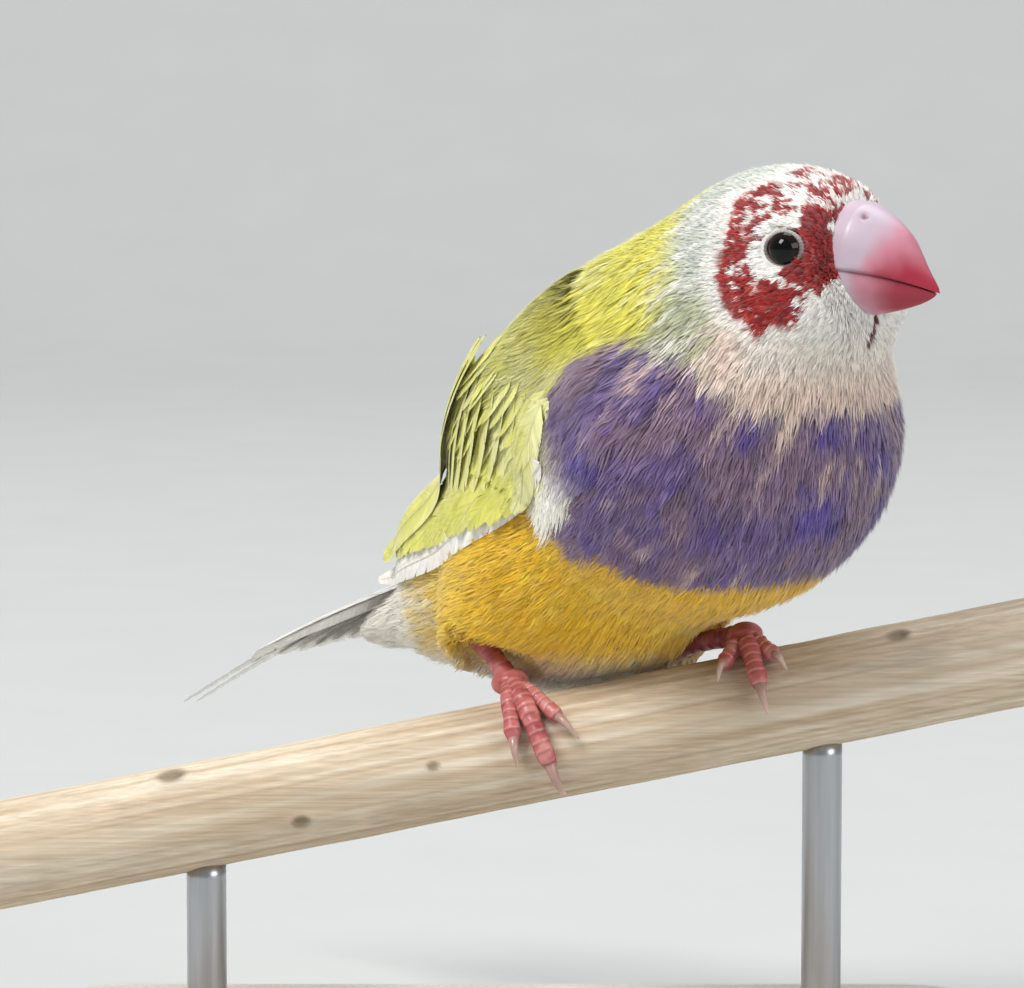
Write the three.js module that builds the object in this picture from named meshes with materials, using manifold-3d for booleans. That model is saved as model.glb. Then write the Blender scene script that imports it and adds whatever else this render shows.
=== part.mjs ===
// Gouldian finch gripping a cut length of perch on a small display stand, life size, in millimetres, +Z up.
// The origin is the middle of the base's underside, the perch runs along X and the feet point to -Y.
import * as THREE from "three";
import { mergeVertices } from "three/addons/utils/BufferGeometryUtils.js";
import Module from "manifold-3d";

const wasm = await Module();
wasm.setup();

const V = (x, y, z) => new THREE.Vector3(x, y, z);
const mix = (a, b, t) => a + (b - a) * t;
const RAD = Math.PI / 180;

// Driving dimensions
const GAP = 0.3; // clearance between touching pieces
const BASE = { length: 100, depth: 64, height: 6, corner: 9, bevel: 0.8 };
const ROD = { radius: 2, offset: 31, sides: 16 };
const PERCH = { radius: 5.45, length: 110, slope: 11.3 * RAD, height: 36, sides: 20, steps: 9 };
const STANCE = { alongPerch: 14.3, heading: 37 * RAD }; // where the body stands, and how far it turns to +X
const HEAD_TURN = 13 * RAD; // the head's turn to the bird's left, beyond the body's
const HEAD_PITCH = -5 * RAD;
const HEAD = V(20, 2.2, 42.3); // middle of the skull in the bird's frame
const EYE = { radius: 1.95, forward: 3.1, side: 7.15, up: 1.5, ring: 0.42 };
const BILL = { length: 8.7, forward: 7.4, halfWidth: 4.7, upper: 6.2, lower: 4.6, droop: 1.5 };
const TAIL = {
  feathers: 12, length: 58, inner: 43, outer: 31, // the central pair, and the others from inner to outer
  pitch: 18 * RAD, sunk: 7, thick: 0.55, bend: 0.0012,
};

// The plumage as rounded masses in the bird's frame: +X ahead, +Y to its left, +Z up, from the perch's top
// between the feet. Each has a middle, its radii along, across and up, and its pitch and turn.
const MASSES = {
  breast: { at: V(8.6, 0.9, 23), radii: V(18.4, 19.3, 15.8), pitch: 48 * RAD, turn: 0 },
  belly: { at: V(-8.5, 0, 10.8), radii: V(19.5, 16, 12.6), pitch: 31 * RAD, turn: 0 },
  mantle: { at: V(-6.4, 0, 27.4), radii: V(21.6, 14.8, 11), pitch: 40.5 * RAD, turn: 0 },
  rump: { at: V(-23, 0, 10.5), radii: V(14.5, 10, 7.8), pitch: 26 * RAD, turn: 0 },
  vent: { at: V(-25.5, 0, 5.2), radii: V(13.5, 9.2, 7), pitch: 24 * RAD, turn: 0 },
  undertail: { at: V(-35, 0, 3), radii: V(15, 5.8, 3.4), pitch: 18 * RAD, turn: 0 },
  nape: { at: V(6.2, 0.4, 36.4), radii: V(13, 11.6, 8.2), pitch: 38 * RAD, turn: 0 },
  neck: { at: V(14.5, 1, 34), radii: V(12, 12.4, 13), pitch: 30 * RAD, turn: 0 },
  occiput: { at: V(14, 1.4, 42.9), radii: V(7.6, 7.6, 6.6), pitch: 20 * RAD, turn: 9 * RAD },
  skull: { at: HEAD, radii: V(10, 8.7, 8.8), pitch: HEAD_PITCH, turn: HEAD_TURN },
  cheeks: { at: V(22.4, 2.8, 39), radii: V(7.4, 8.1, 6.4), pitch: HEAD_PITCH, turn: HEAD_TURN },
};
const BLEND = 4; // how softly the masses run together

// Spine, from the end of the under-tail coverts to the neck, that the wings and the tail are laid out along.
const SPINE = new THREE.CatmullRomCurve3([
  V(-44, 0, 4), V(-30, 0, 8), V(-15, 0, 14), V(0, 0, 22.5), V(10, 0, 31.5), V(15, 0, 40),
]);
const SHOULDER = 0.8; // the shoulder's share of the spine's length from the rear

// Matrices and frames

const turnOf = (pitch, turn) =>
  new THREE.Matrix4().makeRotationZ(turn).multiply(new THREE.Matrix4().makeRotationY(-pitch));

for (const mass of Object.values(MASSES)) mass.toLocal = turnOf(mass.pitch, mass.turn).transpose();

const headFrame = turnOf(HEAD_PITCH, HEAD_TURN).setPosition(HEAD);
const inHead = (x, y, z) => V(x, y, z).applyMatrix4(headFrame);

// Distance from a point to the plumage: below zero inside it.
function plumage(point) {
  let distance = Infinity;
  for (const { at, radii, toLocal } of Object.values(MASSES)) {
    const local = point.clone().sub(at).applyMatrix4(toLocal);
    const scaled = local.clone().divide(radii);
    const steep = scaled.clone().divide(radii).length();
    const share = scaled.length();
    const one = share < 1e-6 ? -Math.min(radii.x, radii.y, radii.z) : (share * (share - 1)) / steep;
    if (distance === Infinity) {
      distance = one;
      continue;
    }
    const h = Math.max(BLEND - Math.abs(distance - one), 0) / BLEND;
    distance = Math.min(distance, one) - (h * h * BLEND) / 4;
  }
  return distance;
}

// How far a ray from an inner point runs before the plumage, grown by an offset, ends.
function reach(from, direction, grow = 0, limit = 60) {
  const step = 1;
  let near = 0;
  while (near < limit && plumage(from.clone().addScaledVector(direction, near + step)) < grow) near += step;
  let far = near + step;
  for (let i = 0; i < 14; i++) {
    const middle = (near + far) / 2;
    if (plumage(from.clone().addScaledVector(direction, middle)) < grow) near = middle;
    else far = middle;
  }
  return near;
}

// Mesh helpers

function geometryOf(points, faces) {
  const geometry = new THREE.BufferGeometry();
  geometry.setAttribute("position", new THREE.Float32BufferAttribute(points.flatMap((p) => p.toArray()), 3));
  geometry.setIndex(faces);
  return geometry;
}

// Closed solid through rings of equal count, capped by a point at each end.
function ringSolid(rings) {
  const count = rings[0].length;
  const middle = (ring) => ring.reduce((sum, p) => sum.add(p), V(0, 0, 0)).divideScalar(count);
  const points = [...rings.flat(), middle(rings[0]), middle(rings.at(-1))];
  const faces = [];
  for (let j = 0; j < count; j++) {
    const k = (j + 1) % count;
    for (let i = 0; i + 1 < rings.length; i++) {
      const a = i * count;
      const b = a + count;
      faces.push(a + j, a + k, b + j, a + k, b + k, b + j);
    }
    const last = (rings.length - 1) * count;
    faces.push(points.length - 2, k, j, points.length - 1, last + j, last + k);
  }
  return geometryOf(points, faces);
}

// Tube of changing radius along points, with a round section.
function tube(path, radii, sides) {
  let side = null;
  const rings = path.map((point, i) => {
    const ahead = path[Math.min(i + 1, path.length - 1)].clone().sub(path[Math.max(i - 1, 0)]).normalize();
    if (!side) side = V(0.31, 0.17, 0.94).cross(ahead).normalize();
    side = side.sub(ahead.clone().multiplyScalar(side.dot(ahead))).normalize();
    const up = ahead.clone().cross(side);
    return Array.from({ length: sides }, (_, j) => {
      const angle = (2 * Math.PI * j) / sides;
      return point.clone()
        .addScaledVector(side, radii[i] * Math.cos(angle))
        .addScaledVector(up, radii[i] * Math.sin(angle));
    });
  });
  return ringSolid(rings);
}

// Thin closed sheet between two grids of points, with both faces split alike.
function sheetSolid(top, bottom) {
  const rows = top.length;
  const columns = top[0].length;
  const points = [...top.flat(), ...bottom.flat()];
  const under = rows * columns;
  const faces = [];
  for (let i = 0; i + 1 < rows; i++) {
    for (let j = 0; j + 1 < columns; j++) {
      const a = i * columns + j;
      const b = a + columns;
      faces.push(a, b, b + 1, a, b + 1, a + 1);
      faces.push(under + a, under + b + 1, under + b, under + a, under + a + 1, under + b + 1);
    }
  }
  const rim = [];
  for (let j = 0; j < columns; j++) rim.push(j);
  for (let i = 1; i < rows; i++) rim.push(i * columns + columns - 1);
  for (let j = columns - 2; j >= 0; j--) rim.push((rows - 1) * columns + j);
  for (let i = rows - 2; i > 0; i--) rim.push(i * columns);
  rim.forEach((a, i) => {
    const b = rim[(i + 1) % rim.length];
    faces.push(a, b, under + b, a, under + b, under + a);
  });
  return geometryOf(points, faces);
}

// Solid seen from one inner point: rays over a sphere of rows and columns, each out to a length.
// A crowd over 1 draws the rows together towards the frame's -X end.
function starSolid(centre, frame, rows, columns, lengthOf, crowd = 1) {
  const points = [];
  const faces = [];
  const at = (across, round) => {
    const reach = Math.sin(across);
    const direction = V(Math.cos(across), reach * Math.cos(round), reach * Math.sin(round))
      .transformDirection(frame);
    return centre.clone().addScaledVector(direction, lengthOf(centre, direction));
  };
  for (let i = 1; i < rows; i++) {
    const across = Math.PI * (1 - (1 - i / rows) ** crowd);
    for (let j = 0; j < columns; j++) points.push(at(across, (2 * Math.PI * j) / columns));
  }
  const front = points.push(at(0, 0)) - 1;
  const back = points.push(at(Math.PI, 0)) - 1;
  for (let j = 0; j < columns; j++) {
    const k = (j + 1) % columns;
    for (let i = 0; i + 2 < rows; i++) {
      const a = i * columns;
      const b = a + columns;
      faces.push(a + j, b + j, b + k, a + j, b + k, a + k);
    }
    const last = (rows - 2) * columns;
    faces.push(front, j, k, back, last + k, last + j);
  }
  return geometryOf(points, faces);
}

// Closed geometry to manifold-3d solid, and back. The largest closed surface is kept.
function solid(geometry) {
  const bare = geometry.index ? geometry.clone() : geometry;
  for (const name of ["normal", "uv"]) bare.deleteAttribute(name);
  const merged = mergeVertices(bare, 1e-4);
  const made = new wasm.Manifold(
    new wasm.Mesh({
      numProp: 3,
      vertProperties: new Float32Array(merged.attributes.position.array),
      triVerts: new Uint32Array(merged.index.array),
    }),
  );
  if (made.volume() > 0) return made;
  const { triVerts, vertProperties } = made.getMesh();
  for (let i = 0; i < triVerts.length; i += 3)
    [triVerts[i + 1], triVerts[i + 2]] = [triVerts[i + 2], triVerts[i + 1]];
  return new wasm.Manifold(new wasm.Mesh({ numProp: 3, vertProperties, triVerts }));
}

const joined = (solids) => solids.reduce((sum, one) => sum.add(one));
const largest = (made) => made.decompose().reduce((a, b) => (a.volume() > b.volume() ? a : b));

function meshOf(name, made, material) {
  const { vertProperties, triVerts } = largest(made).getMesh();
  const geometry = new THREE.BufferGeometry();
  geometry.setAttribute("position", new THREE.BufferAttribute(vertProperties, 3));
  geometry.setIndex(new THREE.BufferAttribute(triVerts, 1));
  geometry.computeVertexNormals();
  const mesh = new THREE.Mesh(geometry, material);
  mesh.name = name;
  return mesh;
}

// Materials
const paint = (color, roughness, metalness = 0) =>
  new THREE.MeshStandardMaterial({ color, roughness, metalness });
const MATERIALS = {
  yellowPlumage: paint(0xd9c94a, 0.85),
  facePlumage: paint(0xc9a59a, 0.85),
  napePlumage: paint(0xc3cbb4, 0.85),
  whitePlumage: paint(0xe9e6dd, 0.8),
  bill: paint(0xd9aab4, 0.35),
  eye: paint(0x07070a, 0.05),
  foot: paint(0xcf7f80, 0.5),
  wood: paint(0xc7ab8b, 0.75),
  rod: paint(0xb8bbbf, 0.3, 1),
  base: paint(0xcfc8bd, 0.5),
};

// Torso, neck and head: one surface, parted by two planes

const NECK_LOW = { normal: V(0.42, 0.05, 0.9).normalize(), through: V(13, 0.5, 33) };
const NECK_HIGH = { normal: V(0.6, 0.12, 0.79).normalize(), through: V(17, 1.4, 38) };

function below(made, plane, clear = GAP / 2) {
  const n = plane.normal;
  return made.trimByPlane([-n.x, -n.y, -n.z], -(n.dot(plane.through) - clear));
}

function above(made, plane, clear = GAP / 2) {
  const n = plane.normal;
  return made.trimByPlane([n.x, n.y, n.z], n.dot(plane.through) + clear);
}

const plumed = (grow) => (from, direction) => reach(from, direction, grow);
const torsoCentre = V(-4, 0, 17);
const torsoFrame = turnOf(21 * RAD, 0);
const neckCentre = V(14, 1, 35);
const skullCentre = HEAD.clone();

const torsoShape = (grow) => solid(starSolid(torsoCentre, torsoFrame, 28, 32, plumed(grow), 1.5));
const headShape = (grow, rows = 20, columns = 28) =>
  solid(starSolid(skullCentre, headFrame, rows, columns, plumed(grow)));

const torso = (perchGrown) => below(torsoShape(0), NECK_LOW).subtract(perchGrown);

const neck = () =>
  below(above(solid(starSolid(neckCentre, torsoFrame, 18, 28, plumed(0))), NECK_LOW), NECK_HIGH);

const eyeCentre = (side) => inHead(EYE.forward, side * EYE.side, EYE.up);

function ball(centre, radius, rows = 9, columns = 14) {
  return solid(starSolid(centre, headFrame, rows, columns, () => radius));
}

// Bare ring of the lids round an eye, lying on the side of the head.
function lids(side) {
  const centre = eyeCentre(side);
  const out = inHead(EYE.forward + 0.9, side * (EYE.side + 3), EYE.up + 0.35).sub(centre).normalize();
  const flat = V(0, 0, 1).cross(out).normalize();
  const up = out.clone().cross(flat);
  const outward = 1.12;
  const radius = 1.86;
  const path = Array.from({ length: 17 }, (_, i) => {
    const angle = (2 * Math.PI * i) / 16;
    return centre.clone()
      .addScaledVector(out, outward)
      .addScaledVector(flat, radius * Math.cos(angle))
      .addScaledVector(up, radius * Math.sin(angle));
  });
  const ringPoints = path.slice(0, 16).map((point) => {
    const away = point.clone().sub(centre).addScaledVector(out, -outward).normalize();
    return Array.from({ length: 6 }, (_, j) => {
      const angle = (Math.PI * j) / 3;
      return point.clone()
        .addScaledVector(away, EYE.ring * Math.cos(angle))
        .addScaledVector(out, EYE.ring * Math.sin(angle));
    });
  });
  const faces = [];
  for (let i = 0; i < 16; i++)
    for (let j = 0; j < 6; j++) {
      const a = i * 6 + j;
      const b = i * 6 + ((j + 1) % 6);
      const c = ((i + 1) % 16) * 6 + j;
      const d = ((i + 1) % 16) * 6 + ((j + 1) % 6);
      faces.push(a, b, d, a, d, c);
    }
  return solid(geometryOf(ringPoints.flat(), faces));
}

function head() {
  let made = above(headShape(0), NECK_HIGH);
  for (const side of [1, -1]) {
    made = made.add(lids(side)).subtract(ball(eyeCentre(side), EYE.radius + GAP * 0.8));
  }
  return made;
}

// Bill: two mandibles that meet along the gape

function mandible(isUpper) {
  const rows = 12;
  const columns = 14;
  const start = -3.4; // sunk in the head before the cut
  const rings = [];
  for (let i = 0; i <= rows; i++) {
    const share = i / rows;
    const x = start + (BILL.length - start) * share;
    const along = Math.max(x, 0) / BILL.length;
    const fall = Math.sqrt(Math.max(1 - along ** 1.5, 0.0004));
    const half = BILL.halfWidth * Math.max(1 - along ** 1.25, 0.02);
    const gape = -BILL.droop * along ** 2;
    const height = (isUpper ? BILL.upper * fall * (1 - 0.25 * along) : -BILL.lower * fall ** 1.6);
    const tip = isUpper ? 0 : -0.35;
    const clear = isUpper ? GAP / 2 : -GAP / 2;
    const ring = Array.from({ length: columns }, (_, j) => {
      const angle = (2 * Math.PI * j) / columns;
      const rise = Math.max(Math.sin(angle), 0);
      const y = half * Math.sign(Math.cos(angle)) * Math.abs(Math.cos(angle)) ** 0.9;
      return inHead(BILL.forward + x + tip * along, y, gape + clear + height * rise);
    });
    rings.push(ring);
  }
  return solid(ringSolid(rings));
}

function nostril(side) {
  const at = inHead(BILL.forward + 0.9, side * 2.35, BILL.upper * 0.80);
  return ball(at, 0.42, 6, 8);
}

function bill(isUpper, headGrown) {
  let made = mandible(isUpper).subtract(headGrown);
  if (isUpper) made = made.subtract(nostril(1)).subtract(nostril(-1));
  return made;
}

// Wings and tail: vanes laid over the plumage

// Point over the plumage: a distance back from the shoulder, an angle up from the flank, and a lift.
const spineLength = SPINE.getLength();
function overBody(side, back, angle, lift) {
  const share = SHOULDER - back / spineLength;
  const inside = Math.max(share, 0);
  const middle = SPINE.getPointAt(inside);
  const tangent = SPINE.getTangentAt(inside);
  middle.addScaledVector(tangent, (share - inside) * spineLength);
  const up = V(-tangent.z, 0, tangent.x);
  const direction = V(0, side * Math.cos(angle), 0).addScaledVector(up, Math.sin(angle));
  const least = Math.max(6, 11.5 - 0.13 * back);
  return middle.addScaledVector(direction, Math.max(reach(middle, direction), least) + lift);
}

// Vane from a root to a tip, each { back, angle, lift }: a strip that lies over the body like a shingle,
// its lower edge raised over the next vane, and that thins and rounds off to its tip.
function vane(side, root, tip, half, { rows = 5, point = 2.2, tilt = 0.5 }) {
  const thick = 0.75;
  const at = (t, lift) =>
    overBody(side, mix(root.back, tip.back, t), mix(root.angle, tip.angle, t) * RAD, lift);
  const top = [];
  const bottom = [];
  for (let i = 0; i < rows; i++) {
    const t = i / (rows - 1);
    const lift = mix(root.lift, tip.lift, t);
    const here = at(t, lift);
    const ahead = at(Math.min(t + 0.05, 1), lift).sub(at(Math.max(t - 0.05, 0), lift)).normalize();
    const outward = at(t, lift + 3).sub(here).normalize();
    const down = ahead.clone().cross(outward).normalize().multiplyScalar(side);
    const normal = down.clone().cross(ahead).normalize().multiplyScalar(side);
    if (normal.dot(outward) < 0) normal.negate();
    const wide = half * Math.max(Math.min(0.6 + 1.4 * t, 1) * (1 - t ** (2 * point)) ** 0.6, 0.1);
    const rise = (c) => ((c * tilt - (c ? 0.15 : 0)) * wide) / half;
    const row = [-1, 0, 1].map((c) =>
      here.clone().addScaledVector(down, c * wide).addScaledVector(normal, rise(c)));
    top.push(row);
    bottom.push(row.map((p) => p.clone().addScaledVector(normal, -thick * (1 - 0.45 * t ** 3))));
  }
  return solid(sheetSolid(top, bottom));
}

// The flight feathers, from the outermost primary low on the wing to the tertials beside the back.
const tier = (count, root, tip, half) => ({ count, root, tip, half });
const FLIGHTS = [
  tier(6, { back: [5, 13], angle: [-13, 12] }, { back: [52, 43], angle: [-1, 14] }, [1.9, 2.2]),
  tier(6, { back: [4, 17], angle: [10, 44] }, { back: [17, 44], angle: [-12, 10] }, [2.4, 2.4]),
  tier(3, { back: [12, 20], angle: [47, 60] }, { back: [45, 49], angle: [16, 26] }, [2.6, 2.6]),
];

function flights(side) {
  return FLIGHTS.flatMap(({ count, root, tip, half }, layer) =>
    Array.from({ length: count }, (_, i) => {
      const t = i / (count - 1);
      return vane(side,
        { back: mix(...root.back, t), angle: mix(...root.angle, t), lift: 1.5 + 0.12 * layer },
        { back: mix(...tip.back, t), angle: mix(...tip.angle, t), lift: 1.6 + 0.16 * layer },
        mix(...half, t), { rows: 5, point: 2.4 });
    }));
}

// Rows of wing coverts, each row lying over the roots of the one behind it.
const COVERTS = [
  { count: 6, back: [6, 20], angle: [4, 52], length: 10, half: 2.6, lift: 2.1 },
  { count: 5, back: [2, 14], angle: [8, 52], length: 8, half: 2.7, lift: 2.3 },
  { count: 4, back: [-1, 8], angle: [6, 44], length: 7, half: 2.7, lift: 2.1 },
];

function coverts(side) {
  return COVERTS.flatMap((row) =>
    Array.from({ length: row.count }, (_, i) => {
      const t = i / (row.count - 1);
      const back = mix(...row.back, t);
      const angle = mix(...row.angle, t);
      return vane(side,
        { back, angle, lift: row.lift - 0.7 },
        { back: back + row.length, angle: angle - 9, lift: row.lift + 0.3 },
        row.half, { rows: 4, point: 1.6 });
    }));
}

// Arm of the wing: a pad on the flank that every vane roots in, thinning to its edges.
function arm(side) {
  const rows = 9;
  const columns = 7;
  const top = [];
  const bottom = [];
  for (let i = 0; i < rows; i++) {
    const t = i / (rows - 1);
    const back = mix(0, 26, t);
    const half = mix(26, 37, Math.sin((Math.PI * Math.min(t * 1.3, 1)) / 2));
    const middle = mix(10, 22, t);
    const fat = 1.6 * Math.sin(Math.PI * mix(0.04, 0.8, t));
    const angleAt = (c) => (middle + half * c) * RAD;
    const across = Array.from({ length: columns }, (_, j) => (2 * j) / (columns - 1) - 1);
    const curved = (c) => back + 5 * c * c * (1 - t); // the front edge is round
    top.push(across.map((c) => overBody(side, curved(c), angleAt(c), 0.6 + fat * (1 - c ** 4))));
    bottom.push(across.map((c) => overBody(side, curved(c), angleAt(c), 0.1)));
  }
  return solid(sheetSolid(top, bottom));
}

const wing = (side, bodyGrown) =>
  joined([arm(side), ...flights(side), ...coverts(side)]).subtract(bodyGrown);

// Tail: the feathers lie over one another, and the central pair is longest, on top and drawn out to pins.
const tailRoot = V(-32, 0, 7.2);
const tailFrame = turnOf(TAIL.pitch, 0).setPosition(tailRoot);

function tailFeather(index) {
  const side = index % 2 ? 1 : -1;
  const rank = Math.floor(index / 2); // 0 for the central pair
  const out = rank / (TAIL.feathers / 2 - 1);
  const isPin = rank === 0;
  const length = isPin ? TAIL.length : mix(TAIL.inner, TAIL.outer, out);
  const splay = mix(0.4, 7.5, out) * RAD * side;
  const half = mix(1.9, 2.7, out);
  const level = 1.0 - 0.34 * rank - (side > 0 ? 0.12 : 0);
  const rows = 7;
  const down = V(0, 0, -1).transformDirection(tailFrame).multiplyScalar(TAIL.thick);
  const top = [];
  for (let i = 0; i < rows; i++) {
    const share = i / (rows - 1);
    const along = mix(-TAIL.sunk, length, share);
    const drawnOut = mix(1, 0.22, Math.min(Math.max((share - 0.35) / 0.6, 0), 1));
    const taper = isPin ? drawnOut : Math.max((1 - share ** 5) ** 0.5, 0.12);
    const wide = half * taper * mix(0.7, 1, Math.min(share * 4, 1));
    const offset = side * mix(0.5, 1.5, out) + Math.tan(splay) * Math.max(along, 0);
    const height = level - 0.05 * Math.abs(offset) ** 1.5 - TAIL.bend * along ** 2;
    top.push([-1, 0, 1].map((c) =>
      V(-along, offset + c * wide, height - (c ? 0.12 * wide : 0)).applyMatrix4(tailFrame)));
  }
  const bottom = top.map((row) => row.map((p) => p.clone().add(down)));
  return solid(sheetSolid(top, bottom));
}

// Root that the tail feathers leave, sunk in the end of the body.
function tailBase() {
  const centre = V(1, 0, -0.4).applyMatrix4(tailFrame);
  const toLocal = tailFrame.clone().invert();
  return solid(starSolid(centre, tailFrame, 8, 12, (from, direction) => {
    const local = direction.clone().transformDirection(toLocal);
    return 1 / Math.hypot(local.x / 9, local.y / 4, local.z / 1.7);
  }));
}

function tail(bodyGrown) {
  const feathers = Array.from({ length: TAIL.feathers }, (_, i) => tailFeather(i));
  return joined([tailBase(), ...feathers]).subtract(bodyGrown);
}

// Perch and stand

function perchSolid(grow) {
  const rings = Array.from({ length: PERCH.steps }, (_, i) => {
    const x = mix(-0.5, 0.5, i / (PERCH.steps - 1)) * PERCH.length;
    const swell = 0.1 * Math.sin(x * 0.11) + 0.06 * Math.sin(x * 0.31 + 1);
    return Array.from({ length: PERCH.sides }, (_, j) => {
      const angle = (2 * Math.PI * j) / PERCH.sides;
      const radius = PERCH.radius + grow + swell;
      return V(x, radius * Math.cos(angle), radius * Math.sin(angle));
    });
  });
  return solid(ringSolid(rings));
}

const perchFrame = new THREE.Matrix4()
  .makeRotationY(-PERCH.slope)
  .setPosition(V(0, 0, PERCH.height));

function rod(side, perchGrown) {
  const x = side * ROD.offset;
  const top = PERCH.height + side * ROD.offset * Math.tan(PERCH.slope);
  const path = [V(x, 0, BASE.height + GAP), V(x, 0, top)];
  const made = solid(tube(path, [ROD.radius, ROD.radius], ROD.sides));
  const cut = made.subtract(perchGrown);
  return cut.decompose().reduce((a, b) => (a.boundingBox().min[2] < b.boundingBox().min[2] ? a : b));
}

function base() {
  const shape = new THREE.Shape();
  const r = BASE.corner - BASE.bevel;
  const x = BASE.length / 2 - BASE.bevel;
  const y = BASE.depth / 2 - BASE.bevel;
  shape.moveTo(-x + r, -y);
  shape.lineTo(x - r, -y);
  shape.absarc(x - r, -y + r, r, -Math.PI / 2, 0);
  shape.lineTo(x, y - r);
  shape.absarc(x - r, y - r, r, 0, Math.PI / 2);
  shape.lineTo(-x + r, y);
  shape.absarc(-x + r, y - r, r, Math.PI / 2, Math.PI);
  shape.lineTo(-x, -y + r);
  shape.absarc(-x + r, -y + r, r, Math.PI, 1.5 * Math.PI);
  const plate = new THREE.ExtrudeGeometry(shape, {
    depth: BASE.height - BASE.bevel,
    bevelThickness: BASE.bevel,
    bevelSize: BASE.bevel,
    bevelSegments: 1,
    curveSegments: 6,
  });
  // The lower bevel goes, so that the base lies flat to its edge.
  return solid(plate).trimByPlane([0, 0, 1], 0);
}

// Feet, in the perch's frame: x runs along the perch and the toes go round it to -Y

const FEET = {
  right: {
    x: 1.0, heel: V(-13.5, -11.5, 2.2),
    toes: [
      { start: 98, end: -46, drift: 3.4, thick: 1.12 },
      { start: 92, end: -6, drift: -0.8, thick: 0.98 },
      { start: 90, end: 10, drift: 5.8, thick: 0.92 },
      { start: 84, end: 226, drift: -0.8, thick: 1.05 },
    ],
  },
  left: {
    x: 25, heel: V(-3.4, 5.2, 1.4),
    toes: [
      { start: 98, end: -2, drift: 0.6, thick: 1.1 },
      { start: 92, end: 38, drift: -3.6, thick: 0.95 },
      { start: 90, end: 36, drift: 3.4, thick: 0.98 },
      { start: 84, end: 222, drift: 0.4, thick: 1.05 },
    ],
  },
};

// Point round the perch: an angle back from the front face over the top, and a lift off the wood.
const roundPerch = (x, angle, lift) => {
  const radius = PERCH.radius + lift;
  return V(x, -radius * Math.cos(angle), radius * Math.sin(angle));
};

// A toe with its claw: along the perch it drifts, and round the perch it runs from the hub down the wood.
function toe(foot, { start, end, drift, thick }) {
  const steps = 10;
  const joints = 3;
  const path = [];
  const radii = [];
  for (let i = 0; i <= steps; i++) {
    const t = i / steps;
    const angle = mix(start, end, t);
    const isClaw = Math.max((t - 0.72) / 0.28, 0);
    const knuckle = 1 + 0.1 * Math.cos(2 * Math.PI * joints * t);
    const radius = thick * mix(1, 0.72, t) * knuckle * (1 - 0.72 * isClaw ** 0.8);
    const lift = GAP + 0.15 + radius + 0.35 * Math.sin(Math.PI * isClaw) + isClaw * 0.3;
    path.push(roundPerch(foot.x + drift * t, angle * RAD, lift));
    radii.push(Math.max(radius, 0.22));
  }
  return solid(tube(path, radii, 6));
}

// Bare leg in the perch's frame: shank from the heel down to the hub that the four toes leave.
function leg(spec, heel) {
  const hubAt = roundPerch(spec.x, 94 * RAD, GAP + 1.35);
  const hub = starSolid(hubAt, new THREE.Matrix4(), 6, 10, (from, d) =>
    1 / Math.hypot(d.x / 1.9, d.y / 1.9, d.z / 1.35));
  const middle = heel.clone().lerp(hubAt, 0.5).add(V(0, 0, 0.2));
  const shank = tube([heel, middle, hubAt], [1.15, 0.95, 1.1], 8);
  return joined([solid(shank), solid(hub), ...spec.toes.map((plan) => toe(spec, plan))]);
}

// Assembly

const group = new THREE.Group();
const perchGroup = new THREE.Group();
perchGroup.applyMatrix4(perchFrame);
const birdGroup = new THREE.Group();
birdGroup.rotation.z = STANCE.heading - Math.PI / 2;
birdGroup.position.set(
  STANCE.alongPerch, 0,
  PERCH.height + STANCE.alongPerch * Math.tan(PERCH.slope) + PERCH.radius / Math.cos(PERCH.slope),
);
group.add(perchGroup, birdGroup);
group.updateMatrixWorld(true);

const perchToBird = birdGroup.matrixWorld.clone().invert().multiply(perchGroup.matrixWorld);
const birdToPerch = perchToBird.clone().invert();
const placed = (made, matrix) => made.transform([...matrix.elements]);

// Thigh: the feathered swelling that the shank comes out of.
function thigh(spec) {
  const centre = spec.heel.clone().add(V(-0.6, 0.3, 1));
  const lengthOf = (grow) => (from, d) => {
    const local = d.clone().transformDirection(torsoFrame.clone().transpose());
    return 1 / Math.hypot(local.x / 5.2, local.y / 3.6, local.z / 4.2) + grow;
  };
  return (grow) => solid(starSolid(centre, torsoFrame, 10, 14, lengthOf(grow)));
}

const bodyGrown = torsoShape(GAP);
const headGrown = headShape(GAP);
const perchGrown = perchSolid(GAP);
const perchWorld = placed(perchGrown, perchGroup.matrixWorld);
const perchInBird = placed(perchGrown, perchToBird);

birdGroup.add(
  meshOf("torso", torso(perchInBird), MATERIALS.yellowPlumage),
  meshOf("neck", neck(), MATERIALS.napePlumage),
  meshOf("head", head(), MATERIALS.facePlumage),
  meshOf("bill_upper", bill(true, headGrown), MATERIALS.bill),
  meshOf("bill_lower", bill(false, headGrown), MATERIALS.bill),
);
const wings = {};
for (const [name, side] of [["left", 1], ["right", -1]]) {
  wings[name] = wing(side, bodyGrown);
  birdGroup.add(
    meshOf("eye_" + name, ball(eyeCentre(side), EYE.radius), MATERIALS.eye),
    meshOf("wing_" + name, wings[name], MATERIALS.yellowPlumage),
  );
}
birdGroup.add(meshOf("tail", tail(bodyGrown), MATERIALS.whitePlumage));
for (const [name, spec] of Object.entries(FEET)) {
  const thighOf = thigh(spec);
  const heel = spec.heel.clone().applyMatrix4(birdToPerch);
  const feathered = placed(bodyGrown.add(thighOf(GAP)), birdToPerch);
  const thighMade = thighOf(0).subtract(bodyGrown).subtract(perchInBird);
  const legMade = leg(spec, heel).subtract(feathered).subtract(perchGrown);
  birdGroup.add(meshOf("thigh_" + name, thighMade, MATERIALS.whitePlumage));
  perchGroup.add(meshOf("leg_" + name, legMade, MATERIALS.foot));
}
perchGroup.add(meshOf("perch", perchSolid(0), MATERIALS.wood));
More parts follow.
